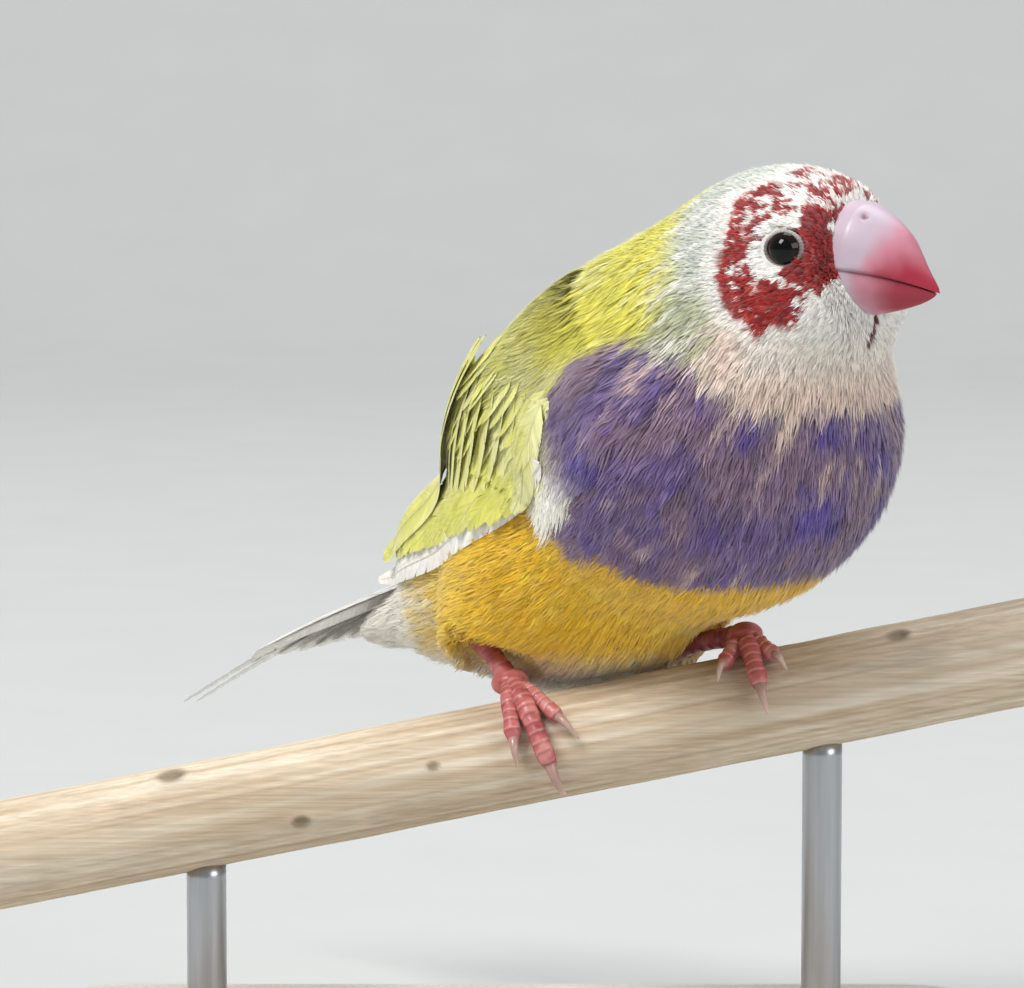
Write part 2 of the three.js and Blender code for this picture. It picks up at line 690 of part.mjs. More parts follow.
group.add(
  meshOf("stand_rod_left", rod(-1, perchWorld), MATERIALS.rod),
  meshOf("stand_rod_right", rod(1, perchWorld), MATERIALS.rod),
  meshOf("stand_base", base(), MATERIALS.base),
);

export default group;
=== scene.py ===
"""Looks of the gouldian finch: skin, feathers, wings, tail, bill, eyes, feet, perch and stand."""

import math

import bpy
import numpy as np
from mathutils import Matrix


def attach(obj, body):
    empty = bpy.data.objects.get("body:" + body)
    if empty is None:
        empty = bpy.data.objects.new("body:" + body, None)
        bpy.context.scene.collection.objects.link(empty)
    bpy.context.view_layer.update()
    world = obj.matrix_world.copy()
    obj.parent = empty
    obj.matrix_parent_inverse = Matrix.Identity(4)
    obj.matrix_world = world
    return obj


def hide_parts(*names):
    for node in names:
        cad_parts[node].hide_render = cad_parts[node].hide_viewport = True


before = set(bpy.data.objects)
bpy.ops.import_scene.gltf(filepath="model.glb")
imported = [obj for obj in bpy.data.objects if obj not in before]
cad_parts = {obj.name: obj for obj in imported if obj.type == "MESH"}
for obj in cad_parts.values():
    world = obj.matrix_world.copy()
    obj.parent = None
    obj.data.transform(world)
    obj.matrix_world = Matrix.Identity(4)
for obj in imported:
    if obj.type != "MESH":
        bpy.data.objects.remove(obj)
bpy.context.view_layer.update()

# Driving sizes, in millimetres and degrees. The bird's frame has +X ahead, +Y to its left and +Z up,
# and starts on the perch's top between the feet.
MM = 0.001
RAD = math.pi / 180
STANCE_ALONG_PERCH = 14.3
STANCE_HEADING = 37 * RAD
PERCH_RADIUS = 5.45
PERCH_LENGTH = 110
PERCH_HEIGHT = 36
PERCH_SLOPE = 11.3 * RAD
HEAD_AT = (20, 2.2, 42.3)
HEAD_PITCH = -5 * RAD
HEAD_TURN = 13 * RAD
BILL_LENGTH = 8.7
BILL_FORWARD = 7.4
BILL_HALF_WIDTH = 4.7
BILL_UPPER = 6.2
BILL_LOWER = 4.6
BILL_DROOP = 1.5
BILL_MIDDLE = (BILL_UPPER - BILL_LOWER) / 2
BILL_HALF_HEIGHT = (BILL_UPPER + BILL_LOWER) / 2
BILL_DENT = 1.25
SHANK_DENT = 3.2
EYE_RADIUS = 1.95
TAIL_ROOT = (-32, 0, 7.2)
TAIL_PITCH = 18 * RAD
TAIL_PIN = 58
TAIL_FEATHERS = 12
BLEND = 4
COAT_DEPTH = 0.9
HEAD_COAT_DEPTH = 0.45
SHOULDER = 0.8
HEAD_SLANT = 0.5
SLOPE_STEP = 0.05
PERCH_GAP = 0.32
TUFT_GAP = 0.4

# The masses of the plumage: middle, radii along, across and up, pitch and turn.
MASSES = {
    "breast": ((8.6, 0.9, 23), (18.4, 19.3, 15.8), 48 * RAD, 0),
    "belly": ((-8.5, 0, 10.8), (19.5, 16, 12.6), 31 * RAD, 0),
    "mantle": ((-6.4, 0, 27.4), (21.6, 14.8, 11), 40.5 * RAD, 0),
    "rump": ((-23, 0, 10.5), (14.5, 10, 7.8), 26 * RAD, 0),
    "vent": ((-25.5, 0, 5.2), (13.5, 9.2, 7), 24 * RAD, 0),
    "undertail": ((-35, 0, 3), (15, 5.8, 3.4), 18 * RAD, 0),
    "nape": ((6.2, 0.4, 36.4), (13, 11.6, 8.2), 38 * RAD, 0),
    "neck": ((14.5, 1, 34), (12, 12.4, 13), 30 * RAD, 0),
    "occiput": ((14, 1.4, 42.9), (7.6, 7.6, 6.6), 20 * RAD, 9 * RAD),
    "skull": (HEAD_AT, (10, 8.7, 8.8), HEAD_PITCH, HEAD_TURN),
    "cheeks": ((22.4, 2.8, 39), (7.4, 8.1, 6.4), HEAD_PITCH, HEAD_TURN),
}
HEELS = {"right": (-13.5, -11.5, 2.2), "left": (-3.4, 5.2, 1.4)}
THIGHS = {
    "thigh_" + side: ((heel[0] - 0.6, heel[1] + 0.3, heel[2] + 1), (5.2, 3.6, 4.2), 21 * RAD, 0)
    for side, heel in HEELS.items()
}
SPINE = [(-44, 0, 4), (-30, 0, 8), (-15, 0, 14), (0, 0, 22.5), (10, 0, 31.5), (15, 0, 40)]


# Frames

def turn_of(pitch, turn):
    """Rotation that turns +X up by the pitch and then round +Z by the turn."""
    c, s = math.cos(turn), math.sin(turn)
    about_z = np.array([[c, -s, 0], [s, c, 0], [0, 0, 1]])
    c, s = math.cos(-pitch), math.sin(-pitch)
    about_y = np.array([[c, 0, s], [0, 1, 0], [-s, 0, c]])
    return about_z @ about_y


HEAD_TURNED = turn_of(HEAD_PITCH, HEAD_TURN)
BIRD_TURNED = turn_of(0, STANCE_HEADING - math.pi / 2)
BIRD_AT = np.array([
    STANCE_ALONG_PERCH, 0,
    PERCH_HEIGHT + STANCE_ALONG_PERCH * math.tan(PERCH_SLOPE) + PERCH_RADIUS / math.cos(PERCH_SLOPE),
])
PERCH_TURNED = turn_of(PERCH_SLOPE, 0)
PERCH_AT = np.array([0, 0, PERCH_HEIGHT])


def bird_to_world(points):
    return points @ BIRD_TURNED.T + BIRD_AT


def world_to_bird(points):
    return (points - BIRD_AT) @ BIRD_TURNED


def perch_to_world(points):
    return points @ PERCH_TURNED.T + PERCH_AT


def bird_to_perch(points):
    return (bird_to_world(points) - PERCH_AT) @ PERCH_TURNED


def perch_to_bird(points):
    return world_to_bird(perch_to_world(points))


def to_head(points):
    return (points - np.array(HEAD_AT)) @ HEAD_TURNED


def from_head(points):
    return np.asarray(points, float) @ HEAD_TURNED.T + np.array(HEAD_AT)


def mix(a, b, t):
    return a + (b - a) * t


def smooth(low, high, x):
    t = np.clip((x - low) / (high - low), 0, 1)
    return t * t * (3 - 2 * t)


def unit(vectors):
    return vectors / np.maximum(np.linalg.norm(vectors, axis=-1, keepdims=True), 1e-9)


def dot(a, b):
    return np.sum(a * b, axis=-1, keepdims=True)


def full_turn(count):
    """Angles all the way round."""
    return np.linspace(0, 2 * math.pi, count, endpoint=False)


def travelled(path):
    """Length along a path up to each of its points."""
    return np.concatenate([[0], np.cumsum(np.linalg.norm(np.diff(path, axis=0), axis=1))])


def tiled(colour, points):
    """One colour for each point."""
    return np.tile(colour, (len(points), 1))


def head_share(points, low, high):
    """From 0 on the body to 1 on the head, between two levels of the head's frame."""
    local = to_head(points)
    return smooth(low, high, local[:, 2] + HEAD_SLANT * local[:, 0])


# The plumage as a distance field

def distance(points, masses):
    """About how far each point is outside the masses, below zero inside."""
    total = None
    for at, radii, pitch, turn in masses.values():
        local = (points - np.array(at)) @ turn_of(pitch, turn)
        scaled = local / np.array(radii)
        share = np.linalg.norm(scaled, axis=-1)
        steep = np.linalg.norm(scaled / np.array(radii), axis=-1)
        one = share * (share - 1) / np.maximum(steep, 1e-9)
        if total is None:
            total = one
            continue
        near = np.maximum(BLEND - np.abs(total - one), 0) / BLEND
        total = np.minimum(total, one) - near * near * BLEND / 4
    return total


WITH_THIGHS = {**MASSES, **THIGHS}


def bill_gap(local):
    """How far a place on the head is from the middle of the bill's root, where 1 is the bill's outline."""
    return np.hypot(local[:, 1] / BILL_HALF_WIDTH, (local[:, 2] - BILL_MIDDLE) / BILL_HALF_HEIGHT)


def plumage(points):
    """Distance to the plumage, which stays back round the root of the bill."""
    local = to_head(points)
    dent = BILL_DENT * smooth(1.75, 1.0, bill_gap(local)) * smooth(4.5, 6.5, local[:, 0])
    dent = dent + SHANK_DENT * smooth(3.8, 1.5, shank_gap(points))
    return distance(points, WITH_THIGHS) + dent


def normal_at(points):
    here = plumage(points)
    slopes = [plumage(points + SLOPE_STEP * np.eye(3)[axis]) - here for axis in range(3)]
    return unit(np.stack(slopes, axis=-1))


def to_level(points, level, rounds=2):
    """Points moved along the slope until the plumage is at the level."""
    for _ in range(rounds):
        points = points - normal_at(points) * (plumage(points) - level)[:, None]
    return points


def clear_of_perch(points, gap=PERCH_GAP):
    """Points in the bird's frame pushed out of the perch."""
    local = bird_to_perch(points)
    radius = np.hypot(local[:, 1], local[:, 2])
    least = PERCH_RADIUS + gap
    sunk = (radius < least) & (np.abs(local[:, 0]) < PERCH_LENGTH / 2)
    push = np.where(sunk, least / np.maximum(radius, 1e-6), 1)
    local[:, 1] *= push
    local[:, 2] *= push
    return perch_to_bird(local)


# Lay of the coat: along a line from the bill over the neck to the tail, and out from the bill on the head

LINE = np.array([
    (-46, 0, 3), (-30, 0, 7.5), (-15, 0, 13), (0, 0, 20.5), (9, 0.2, 29), (15, 1, 36.5), (20, 2.2, 42),
])
CHUNK = 20000


def curve_points(controls, count):
    """Catmull-Rom curve through the controls."""
    controls = np.asarray(controls, float)
    padded = np.vstack([2 * controls[0] - controls[1], controls, 2 * controls[-1] - controls[-2]])
    places = np.linspace(0, len(controls) - 1 - 1e-9, count)
    index = places.astype(int)
    t = (places - index)[:, None]
    a, b, c, d = (padded[index + k] for k in range(4))
    square = (2 * a - 5 * b + 4 * c - d) * t ** 2
    cube = (3 * b - a - 3 * c + d) * t ** 3
    return 0.5 * (2 * b + (c - a) * t + square + cube)


LINE_POINTS = curve_points(LINE, 160)
LINE_AHEAD = unit(np.gradient(LINE_POINTS, axis=0))
LINE_LENGTH = travelled(LINE_POINTS)
BILL_BASE = from_head([BILL_FORWARD + 1, 0, 1.2])


def along_line(points):
    """Nearest place on the line for each point: its index, the length from the tail, and the angle."""
    index = np.empty(len(points), int)
    for start in range(0, len(points), CHUNK):
        part = points[start:start + CHUNK]
        gaps = np.linalg.norm(part[:, None, :] - LINE_POINTS[None], axis=-1)
        index[start:start + CHUNK] = gaps.argmin(axis=1)
    ahead = LINE_AHEAD[index]
    offset = points - LINE_POINTS[index]
    across = np.array([0.0, 1.0, 0.0])
    up = unit(np.cross(ahead, np.broadcast_to(across, ahead.shape)))
    angle = np.arctan2(np.sum(offset * up, axis=1), offset[:, 1])
    return index, LINE_LENGTH[index], angle


def lay_at(points, normals):
    """Which way the coat lies at each point of the plumage."""
    index = along_line(points)[0]
    head = head_share(points, -9.5, -3)[:, None]
    back = -LINE_AHEAD[index]
    out = unit(points - BILL_BASE)
    drop = np.array([0, 0, -1.0])
    front = smooth(6, 20, points[:, 0])[:, None] * (1 - head)
    way = unit(mix(back, out, head) + 0.25 * front * drop)
    return unit(way - normals * dot(way, normals))


# Seeded noise that is the same on every run

def hashed(cells, seed):
    """A number from 0 to 1 for each cell."""
    x = cells.astype(np.int64)
    mixed = x[..., 0] * 374761393 + x[..., 1] * 668265263 + x[..., 2] * 2147483647 + seed * 1274126177
    mixed = mixed & 0xFFFFFFFF
    mixed = ((mixed ^ (mixed >> 13)) * 1274126177) & 0xFFFFFFFF
    return ((mixed ^ (mixed >> 16)) & 0xFFFF) / 65535.0


def noise(points, size, seed):
    """Smooth noise from 0 to 1 whose blotches are about one size across."""
    scaled = points / size
    cell = np.floor(scaled)
    t = scaled - cell
    t = t * t * (3 - 2 * t)
    total = 0
    for corner in range(8):
        step = np.array([(corner >> axis) & 1 for axis in range(3)])
        weight = np.prod(np.where(step, t, 1 - t), axis=-1)
        total = total + weight * hashed(cell + step, seed)
    return total


def layered(points, size, seed):
    """Noise with a finer layer on top."""
    return 0.65 * noise(points, size, seed) + 0.35 * noise(points, size * 0.45, seed + 7)


STREAK_LONG = 5.0
STREAK_FINE = 0.5
BODY_RADIUS = 13


def streaks(length, angle, points, seed):
    """Noise drawn out along the lay."""
    round_body = angle * BODY_RADIUS / STREAK_FINE
    place = np.stack([length / STREAK_LONG, round_body, 0.1 * points[:, 2]], axis=-1)
    return noise(place, 1.0, seed)


# Markings

def srgb(r, g, b):
    """Linear colour for one given in the usual 0 to 255."""
    c = np.array([r, g, b]) / 255
    return np.where(c <= 0.04045, c / 12.92, ((c + 0.055) / 1.055) ** 2.4)


YELLOW = srgb(232, 224, 88)
OLIVE = srgb(196, 194, 92)
PALE_YELLOW = srgb(240, 236, 176)
NAPE = srgb(206, 211, 200)
NAPE_GREEN = srgb(172, 177, 134)
WHITE = srgb(246, 242, 236)
CREAM = srgb(240, 230, 218)
BEIGE = srgb(232, 206, 190)
RED = srgb(164, 16, 16)
RED_DEEP = srgb(100, 8, 10)
RED_ORANGE = srgb(200, 48, 24)
VIOLET = srgb(112, 88, 140)
VIOLET_BLUE = srgb(84, 62, 156)
MAUVE = srgb(142, 114, 132)
VIOLET_BEIGE = srgb(214, 186, 178)
GOLD = srgb(236, 186, 10)
GOLD_LIGHT = srgb(242, 202, 52)
DOWN = srgb(242, 236, 224)
DOWN_GREY = srgb(176, 172, 138)


def over(under, colour, weight):
    """One colour laid over another by a weight for each point."""
    return mix(under, colour, weight[:, None])


def body_colour(points, length, angle):
    """Colours of the body and nape, with the noise that they share with the breast."""
    u, v, w = points.T
    fine = streaks(length, angle, points, 3)
    coarse = layered(points, 5.0, 11)
    speck = layered(points, 1.6, 17)
    # yellow-green above
    colour = over(tiled(YELLOW, points), OLIVE, smooth(0.45, 0.8, coarse) * 0.55)
    colour = over(colour, PALE_YELLOW, smooth(0.6, 0.85, fine) * 0.6)
    # golden below
    elevation = np.arctan2(np.sin(angle), np.abs(np.cos(angle)))
    under = smooth(0.3, 0.1, elevation + 0.15 * (fine - 0.5))
    gold = over(tiled(GOLD, points), GOLD_LIGHT, smooth(0.35, 0.8, 0.5 * coarse + 0.5 * fine))
    gold = over(gold, GOLD_LIGHT, smooth(-6, -20, u))
    rear = smooth(-23, -33, u + 14 * (0.6 * coarse + 0.4 * fine - 0.5))
    gold = over(gold, DOWN, np.maximum(smooth(2.6, -2.4, w + 2.2 * (coarse - 0.5)), rear))
    colour = over(colour, gold, under * smooth(22, 17, w))
    flank = smooth(-3, 1, u) * smooth(10, 6, u) * smooth(34, 30, w) * smooth(19, 23, w)
    colour = over(colour, DOWN_GREY, 0.75 * flank * smooth(0.2, 0.6, fine))
    # grey-green nape behind the mask
    edge = u - 13.6 + 0.25 * np.maximum(w - 39, 0) + 3.0 * (coarse - 0.5) + 2.0 * (fine - 0.5)
    green = smooth(42, 35, w + 4 * (coarse - 0.5))
    nape = over(tiled(NAPE, points), NAPE_GREEN, green * 0.9)
    nape = over(nape, WHITE, smooth(0.52, 0.78, fine) * 0.75)
    colour = over(colour, nape, smooth(-2.6, 2.2, edge) * smooth(24, 30, w))
    return colour, fine, coarse, speck


def breast_colour(points, fine, speck):
    """Streaked violet of the breast."""
    streak = 0.5 * fine + 0.5 * speck
    high = smooth(6, 0, highest_violet(points) - points[:, 2])
    blue = smooth(0.52, 0.7, layered(points, 4.2, 29))
    colour = over(tiled(VIOLET, points), VIOLET_BLUE, blue * 0.75)
    colour = over(colour, MAUVE, smooth(0.42, 0.64, layered(points, 3.2, 37)) * 0.8)
    colour = over(colour, VIOLET_BEIGE, smooth(0.58 - 0.1 * high, 0.8 - 0.1 * high, streak) * 0.75)
    return over(colour, colour * 0.45, smooth(0.46, 0.26, streak) * 0.6)


def highest_violet(points):
    """Level of the breast's upper edge."""
    side = points[:, 1]
    return 28.8 + 4.9 * smooth(9.5, 13.5, np.abs(side)) - 2.2 * np.exp(-((side + 5.5) / 1.8) ** 2)


BREAST_BACK = ([26, 29, 32, 35], [3.6, 4.0, 5.8, 9.0])


def breast_share(points, fine, coarse):
    """How far a point belongs to the violet breast, and to the pale bib above it."""
    u, v, w = points.T
    lowest = 10.2 + 8.8 * (np.abs(v) / 18.6) ** 5
    highest = highest_violet(points)
    ragged = 3.4 * (fine - 0.5) + 1.6 * (coarse - 0.5)
    above = smooth(-0.35, 0.35, w - lowest + 0.5 * (fine - 0.5))
    below = smooth(1.5, -1.5, w - highest + ragged)
    ahead = smooth(-0.7, 0.8, u - np.interp(w, *BREAST_BACK) + 1.6 * (fine - 0.5))
    bib = smooth(-1.5, 1.5, w - highest + ragged) * smooth(21, 24.5, u + 0.25 * np.abs(v) + 2 * (fine - 0.5))
    return above * below * ahead, bib


# The mask's rear edge as levels and places ahead, and how much red each area of it has
MASK_BACK = (
    [-8, -7, -5.4, -2.9, -1.2, 1, 5.6, 6.7, 8.2],
    [3.0, 1.5, -0.4, -2.4, -3.3, -3.3, -3.9, -2.5, -0.5],
)
MASK_RED = {
    "crown": 0.48, "brow": 0.66, "rim": 0.6, "cheek": 0.62, "lores": 0.95, "low_front": 0.47, "ring": 0.36,
    "spot": 0.0,
}
CHIN_STREAK = ((-0.4, -7.4), (0.3, -5.1))


def gap_to_streak(y, z):
    """Distance to the thin streak on the chin, seen from ahead."""
    (first_y, first_z), (last_y, last_z) = CHIN_STREAK
    along_y, along_z = last_y - first_y, last_z - first_z
    share = ((y - first_y) * along_y + (z - first_z) * along_z) / (along_y ** 2 + along_z ** 2)
    share = np.clip(share, 0, 1)
    return np.hypot(y - first_y - share * along_y, z - first_z - share * along_z)


def mask_areas(local, back_edge):
    """How far each point belongs to each area of the mask."""
    x, y, z = local.T
    side = np.abs(y)
    return {
        "crown": smooth(4.4, 6.0, z + 0.15 * side) * smooth(5.8, 3.6, x),
        "brow": smooth(5.2, 6.4, x) * smooth(4.4, 5.4, z),
        "rim": smooth(2.4, 0.4, x - back_edge) * smooth(7.5, 5.5, z),
        "cheek": smooth(-2.8, -1.6, x) * smooth(5.2, 4.2, x) * smooth(-1.0, -2.4, z),
        "lores": smooth(3.4, 4.3, x) * smooth(-1.6, -0.4, z) * smooth(6.0, 5.0, z) * smooth(2.0, 3.4, side),
        "low_front": smooth(5.2, 6.4, x) * smooth(-1.6, -3.0, z),
        "ring": smooth(3.5, 2.7, np.hypot(x - 2.9, z - 1.6)) * smooth(4.0, 3.4, x),
        "spot": smooth(1.15, 0.75, np.hypot(x - 6.7, z - 4.2)),
    }


def face_colour(points, colour):
    """Red and white mottled mask, and the white face and throat."""
    local = to_head(points)
    x, y, z = local.T
    blotch = layered(local, 1.3, 41)
    grain = layered(local, 0.5, 43)
    mottle = 0.42 * blotch + 0.36 * grain + 0.22 * noise(local, 0.2, 47)
    back_edge = np.interp(z, *MASK_BACK) + 1.4 * (blotch - 0.5)
    low_edge = -7.4 + 1.4 * smooth(2, 3.5, x) + 3.2 * smooth(5.3, 6.2, x) + 2.4 * smooth(7, 8, x)
    low_edge = low_edge + 1.2 * (blotch - 0.5)
    mask = smooth(-0.3, 0.5, x - back_edge) * smooth(-0.3, 0.5, z - low_edge)
    face = smooth(-2.8, -0.2, x - back_edge) * smooth(-14.5, -12.5, z + 0.1 * x)
    white = over(tiled(WHITE, points), CREAM, smooth(-4, -9, z))
    white = over(white, BEIGE, smooth(-8, -13, z) * 0.9)
    white = over(white, white * 0.78, smooth(0.4, 0.15, grain) * 0.5)
    colour = over(colour, white, face)
    areas = mask_areas(local, back_edge)
    amount = np.full(len(points), 0.5)
    for area, value in MASK_RED.items():
        amount = mix(amount, value, areas[area])
    red_share = smooth(-0.035, 0.035, amount - mottle) * mask
    lores = areas["lores"]
    red = over(tiled(RED, points), RED_ORANGE, smooth(0.45, 0.75, blotch) * (1 - 0.8 * lores) * 0.8)
    red = over(red, RED_DEEP, smooth(0.55, 0.3, grain) * 0.5 + 0.3 * lores)
    colour = over(colour, red, red_share)
    chin = smooth(0.42, 0.2, gap_to_streak(y, z)) * smooth(5, 7, x)
    return over(colour, RED_DEEP, chin)


def markings(points):
    """Colour of skin and coat at each point of the bird's frame."""
    _, length, angle = along_line(points)
    colour, fine, coarse, speck = body_colour(points, length, angle)
    breast, bib = breast_share(points, fine, coarse)
    colour = over(colour, over(tiled(CREAM, points), BEIGE, 0.4 + 0.6 * fine), bib)
    colour = over(colour, breast_colour(points, fine, speck), breast)
    return np.clip(face_colour(points, colour), 0, 1)


# Meshes

def link(name, mesh, material, body="root"):
    """Object for a mesh, which rides on the body."""
    piece = bpy.data.objects.new(name, mesh)
    bpy.context.scene.collection.objects.link(piece)
    mesh.materials.append(material)
    if body:
        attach(piece, body)
    return piece


def dressed(mesh, material, slot, *nodes):
    """One piece of the bird or its stand, which hides the CAD nodes that it replaces. Its colour slot is not
    used.
    """
    piece = link(mesh.name, mesh, material)
    if nodes:
        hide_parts(*nodes)


def facing_out(block, points, normals):
    """Faces turned round where they face against the normals of their points."""
    first, second, third = (points[block[:, k]] for k in range(3))
    facing = np.sum(np.cross(second - first, third - first) * normals[block].mean(axis=1), axis=1)
    return np.where((facing < 0)[:, None], block[:, ::-1], block)


def volume(block, points, inside):
    """Six times the volume that faces enclose, below zero where they face in."""
    a, b, c = (points[block[:, k]] - inside for k in range(3))
    total = np.sum(np.cross(a, b) * c)
    if block.shape[1] == 4:
        d = points[block[:, 3]] - inside
        total += np.sum(np.cross(a, c) * d)
    return total


def mesh_of(name, points, quads=None, triangles=None, colours=None, uv=None, normals=None,
            to_world=bird_to_world, inside=None):
    """Mesh from arrays that faces out, with its points in millimetres."""
    blocks = [np.asarray(block, np.int32) for block in (quads, triangles) if block is not None and len(block)]
    if normals is not None:
        blocks = [facing_out(block, points, normals) for block in blocks]
    else:
        inside = points.mean(axis=0) if inside is None else inside
        if sum(volume(block, points, inside) for block in blocks) < 0:
            blocks = [block[:, ::-1] for block in blocks]
    faces = []
    starts = []
    placed = 0
    for block in blocks:
        faces.append(block.ravel())
        starts.append(placed + np.arange(len(block)) * block.shape[1])
        placed += block.size
    corners = np.concatenate(faces)
    mesh = bpy.data.meshes.new(name)
    mesh.vertices.add(len(points))
    mesh.vertices.foreach_set("co", (to_world(points) * MM).astype(np.float32).ravel())
    mesh.loops.add(len(corners))
    mesh.loops.foreach_set("vertex_index", corners)
    starts = np.concatenate(starts).astype(np.int32)
    mesh.polygons.add(len(starts))
    mesh.polygons.foreach_set("loop_start", starts)
    mesh.update(calc_edges=True)
    mesh.shade_smooth()
    if colours is not None:
        layer = mesh.color_attributes.new("Markings", "FLOAT_COLOR", "POINT")
        rgba = np.ones((len(points), 4), np.float32)
        rgba[:, :3] = colours
        layer.data.foreach_set("color", rgba.ravel())
    if uv is not None:
        layer = mesh.uv_layers.new(name="OFBake")
        layer.data.foreach_set("uv", np.asarray(uv, np.float32)[corners].ravel())
    if normals is not None:
        turned = unit(normals @ BIRD_TURNED.T).astype(np.float32)
        mesh.normals_split_custom_set_from_vertices(turned.tolist())
    return mesh


def grid_faces(rows, columns, closed=False):
    """Quads of a grid of points, joined round when it is closed."""
    i, j = np.meshgrid(np.arange(rows - 1), np.arange(columns if closed else columns - 1), indexing="ij")
    k = (j + 1) % columns
    corners = [i * columns + j, i * columns + k, (i + 1) * columns + k, (i + 1) * columns + j]
    return np.stack(corners, -1).reshape(-1, 4)


# Materials

COAT_ROUGHNESS = 0.08
SHEEN_ROUGHNESS = 0.5
FLESH_DEPTH = 0.0008
FLESH_COLOURS = (1.0, 0.5, 0.3)


def node_material(name, roughness, sheen=0.0, coat=0.0, specular=0.5, subsurface=0.0, metallic=0.0):
    """Material with its node tree and shader."""
    material = bpy.data.materials.new(name)
    material.use_nodes = True
    shader = material.node_tree.nodes["Principled BSDF"]
    settings = {
        "Roughness": roughness, "Metallic": metallic, "Specular IOR Level": specular,
        "Coat Weight": coat, "Coat Roughness": COAT_ROUGHNESS,
        "Sheen Weight": sheen, "Sheen Roughness": SHEEN_ROUGHNESS,
    }
    if subsurface:
        settings["Subsurface Weight"] = subsurface
        settings["Subsurface Radius"] = FLESH_COLOURS
        settings["Subsurface Scale"] = FLESH_DEPTH
    for socket, value in settings.items():
        shader.inputs[socket].default_value = value
    return material, material.node_tree, shader


def add(tree, kind, **values):
    made = tree.nodes.new(kind)
    for key, value in values.items():
        setattr(made, key, value)
    return made


def ramp_node(tree, source, first, last, places=(0, 1)):
    """Colour that runs from one to another between two places of the source."""
    made = add(tree, "ShaderNodeValToRGB")
    for element, place, colour in zip(made.color_ramp.elements, places, (first, last)):
        element.position = place
        element.color = (*colour, 1)
    tree.links.new(source, made.inputs["Fac"])
    return made.outputs["Color"]


def multiplied(tree, first, second):
    made = add(tree, "ShaderNodeMix", data_type="RGBA", blend_type="MULTIPLY")
    made.inputs["Factor"].default_value = 1
    tree.links.new(first, made.inputs["A"])
    tree.links.new(second, made.inputs["B"])
    return made.outputs["Result"]


def bump(tree, shader, height, strength, far):
    made = add(tree, "ShaderNodeBump")
    made.inputs["Strength"].default_value = strength
    made.inputs["Distance"].default_value = far
    tree.links.new(height, made.inputs["Height"])
    tree.links.new(made.outputs["Normal"], shader.inputs["Normal"])


def noise_node(tree, scale, detail=3.0, stretch=None):
    """Noise in object space, in features each millimetre."""
    place = add(tree, "ShaderNodeTexCoord")
    source = place.outputs["Object"]
    if stretch is not None:
        mapping = add(tree, "ShaderNodeMapping")
        mapping.inputs["Scale"].default_value = stretch
        tree.links.new(source, mapping.inputs["Vector"])
        source = mapping.outputs["Vector"]
    made = add(tree, "ShaderNodeTexNoise")
    made.inputs["Scale"].default_value = scale
    made.inputs["Detail"].default_value = detail
    tree.links.new(source, made.inputs["Vector"])
    return made


def marked_material(name, roughness, spread=0.3, fine=900.0, **finish):
    """Material that takes its colour from the markings and varies it finely."""
    material, tree, shader = node_material(name, roughness, **finish)
    marks = add(tree, "ShaderNodeAttribute", attribute_name="Markings")
    grain = noise_node(tree, fine)
    value = add(tree, "ShaderNodeMapRange")
    value.inputs["To Min"].default_value = 1 - spread
    value.inputs["To Max"].default_value = 1 + spread
    tree.links.new(grain.outputs["Fac"], value.inputs["Value"])
    tint = multiplied(tree, marks.outputs["Color"], value.outputs["Result"])
    tree.links.new(tint, shader.inputs["Base Color"])
    bump(tree, shader, grain.outputs["Fac"], 0.25, 0.0001)
    return material


FEATHER = marked_material("feather", 0.62, spread=0.22, sheen=0.25, specular=0.3)
SKIN = marked_material("skin_under_feathers", 0.8, spread=0.25, specular=0.2)
VANE = marked_material("vane", 0.5, spread=0.16, fine=700.0, sheen=0.2, specular=0.35)
HORN = marked_material("bill_horn", 0.4, spread=0.06, fine=420.0, coat=0.08, subsurface=0.2)
SCALES = marked_material("foot_scales", 0.42, spread=0.12, fine=1500.0, coat=0.1, subsurface=0.2)


# Skin

SKIN_VOXEL = 0.55
SKIN_INSET = 0.4


def skin_depth(points):
    """How far the skin lies under the tips of the coat."""
    return mix(COAT_DEPTH, HEAD_COAT_DEPTH, head_share(points, -10, -4))


def make_skin():
    """One skin over body, neck, head and thighs, at the coat's depth under the plumage."""
    blobs = []
    for at, radii, pitch, turn in WITH_THIGHS.values():
        bpy.ops.mesh.primitive_ico_sphere_add(subdivisions=4, radius=1)
        blob = bpy.context.object
        points = np.empty(len(blob.data.vertices) * 3, np.float32)
        blob.data.vertices.foreach_get("co", points)
        points = points.reshape(-1, 3) * (np.array(radii) - SKIN_INSET)
        points = points @ turn_of(pitch, turn).T + np.array(at)
        blob.data.vertices.foreach_set("co", points.astype(np.float32).ravel())
        blobs.append(blob)
    bpy.ops.object.select_all(action="DESELECT")
    for blob in blobs:
        blob.select_set(True)
    bpy.context.view_layer.objects.active = blobs[0]
    bpy.ops.object.join()
    joined = bpy.context.object
    remesh = joined.modifiers.new("remesh", "REMESH")
    remesh.mode = "VOXEL"
    remesh.voxel_size = SKIN_VOXEL
    bpy.ops.object.modifier_apply(modifier="remesh")
    data = joined.data
    points = np.empty(len(data.vertices) * 3, np.float32)
    data.vertices.foreach_get("co", points)
    points = points.reshape(-1, 3).astype(float)
    quads = np.empty(len(data.loops), np.int32)
    data.loops.foreach_get("vertex_index", quads)
    quads = quads.reshape(-1, 4)
    bpy.data.objects.remove(joined)
    points = to_level(points, 0, 3)
    for _ in range(3):
        points = to_level(relaxed(points, quads), 0, 1)
    for _ in range(3):
        points = points - normal_at(points) * (plumage(points) + skin_depth(points))[:, None]
    return clear_of_perch(points), quads


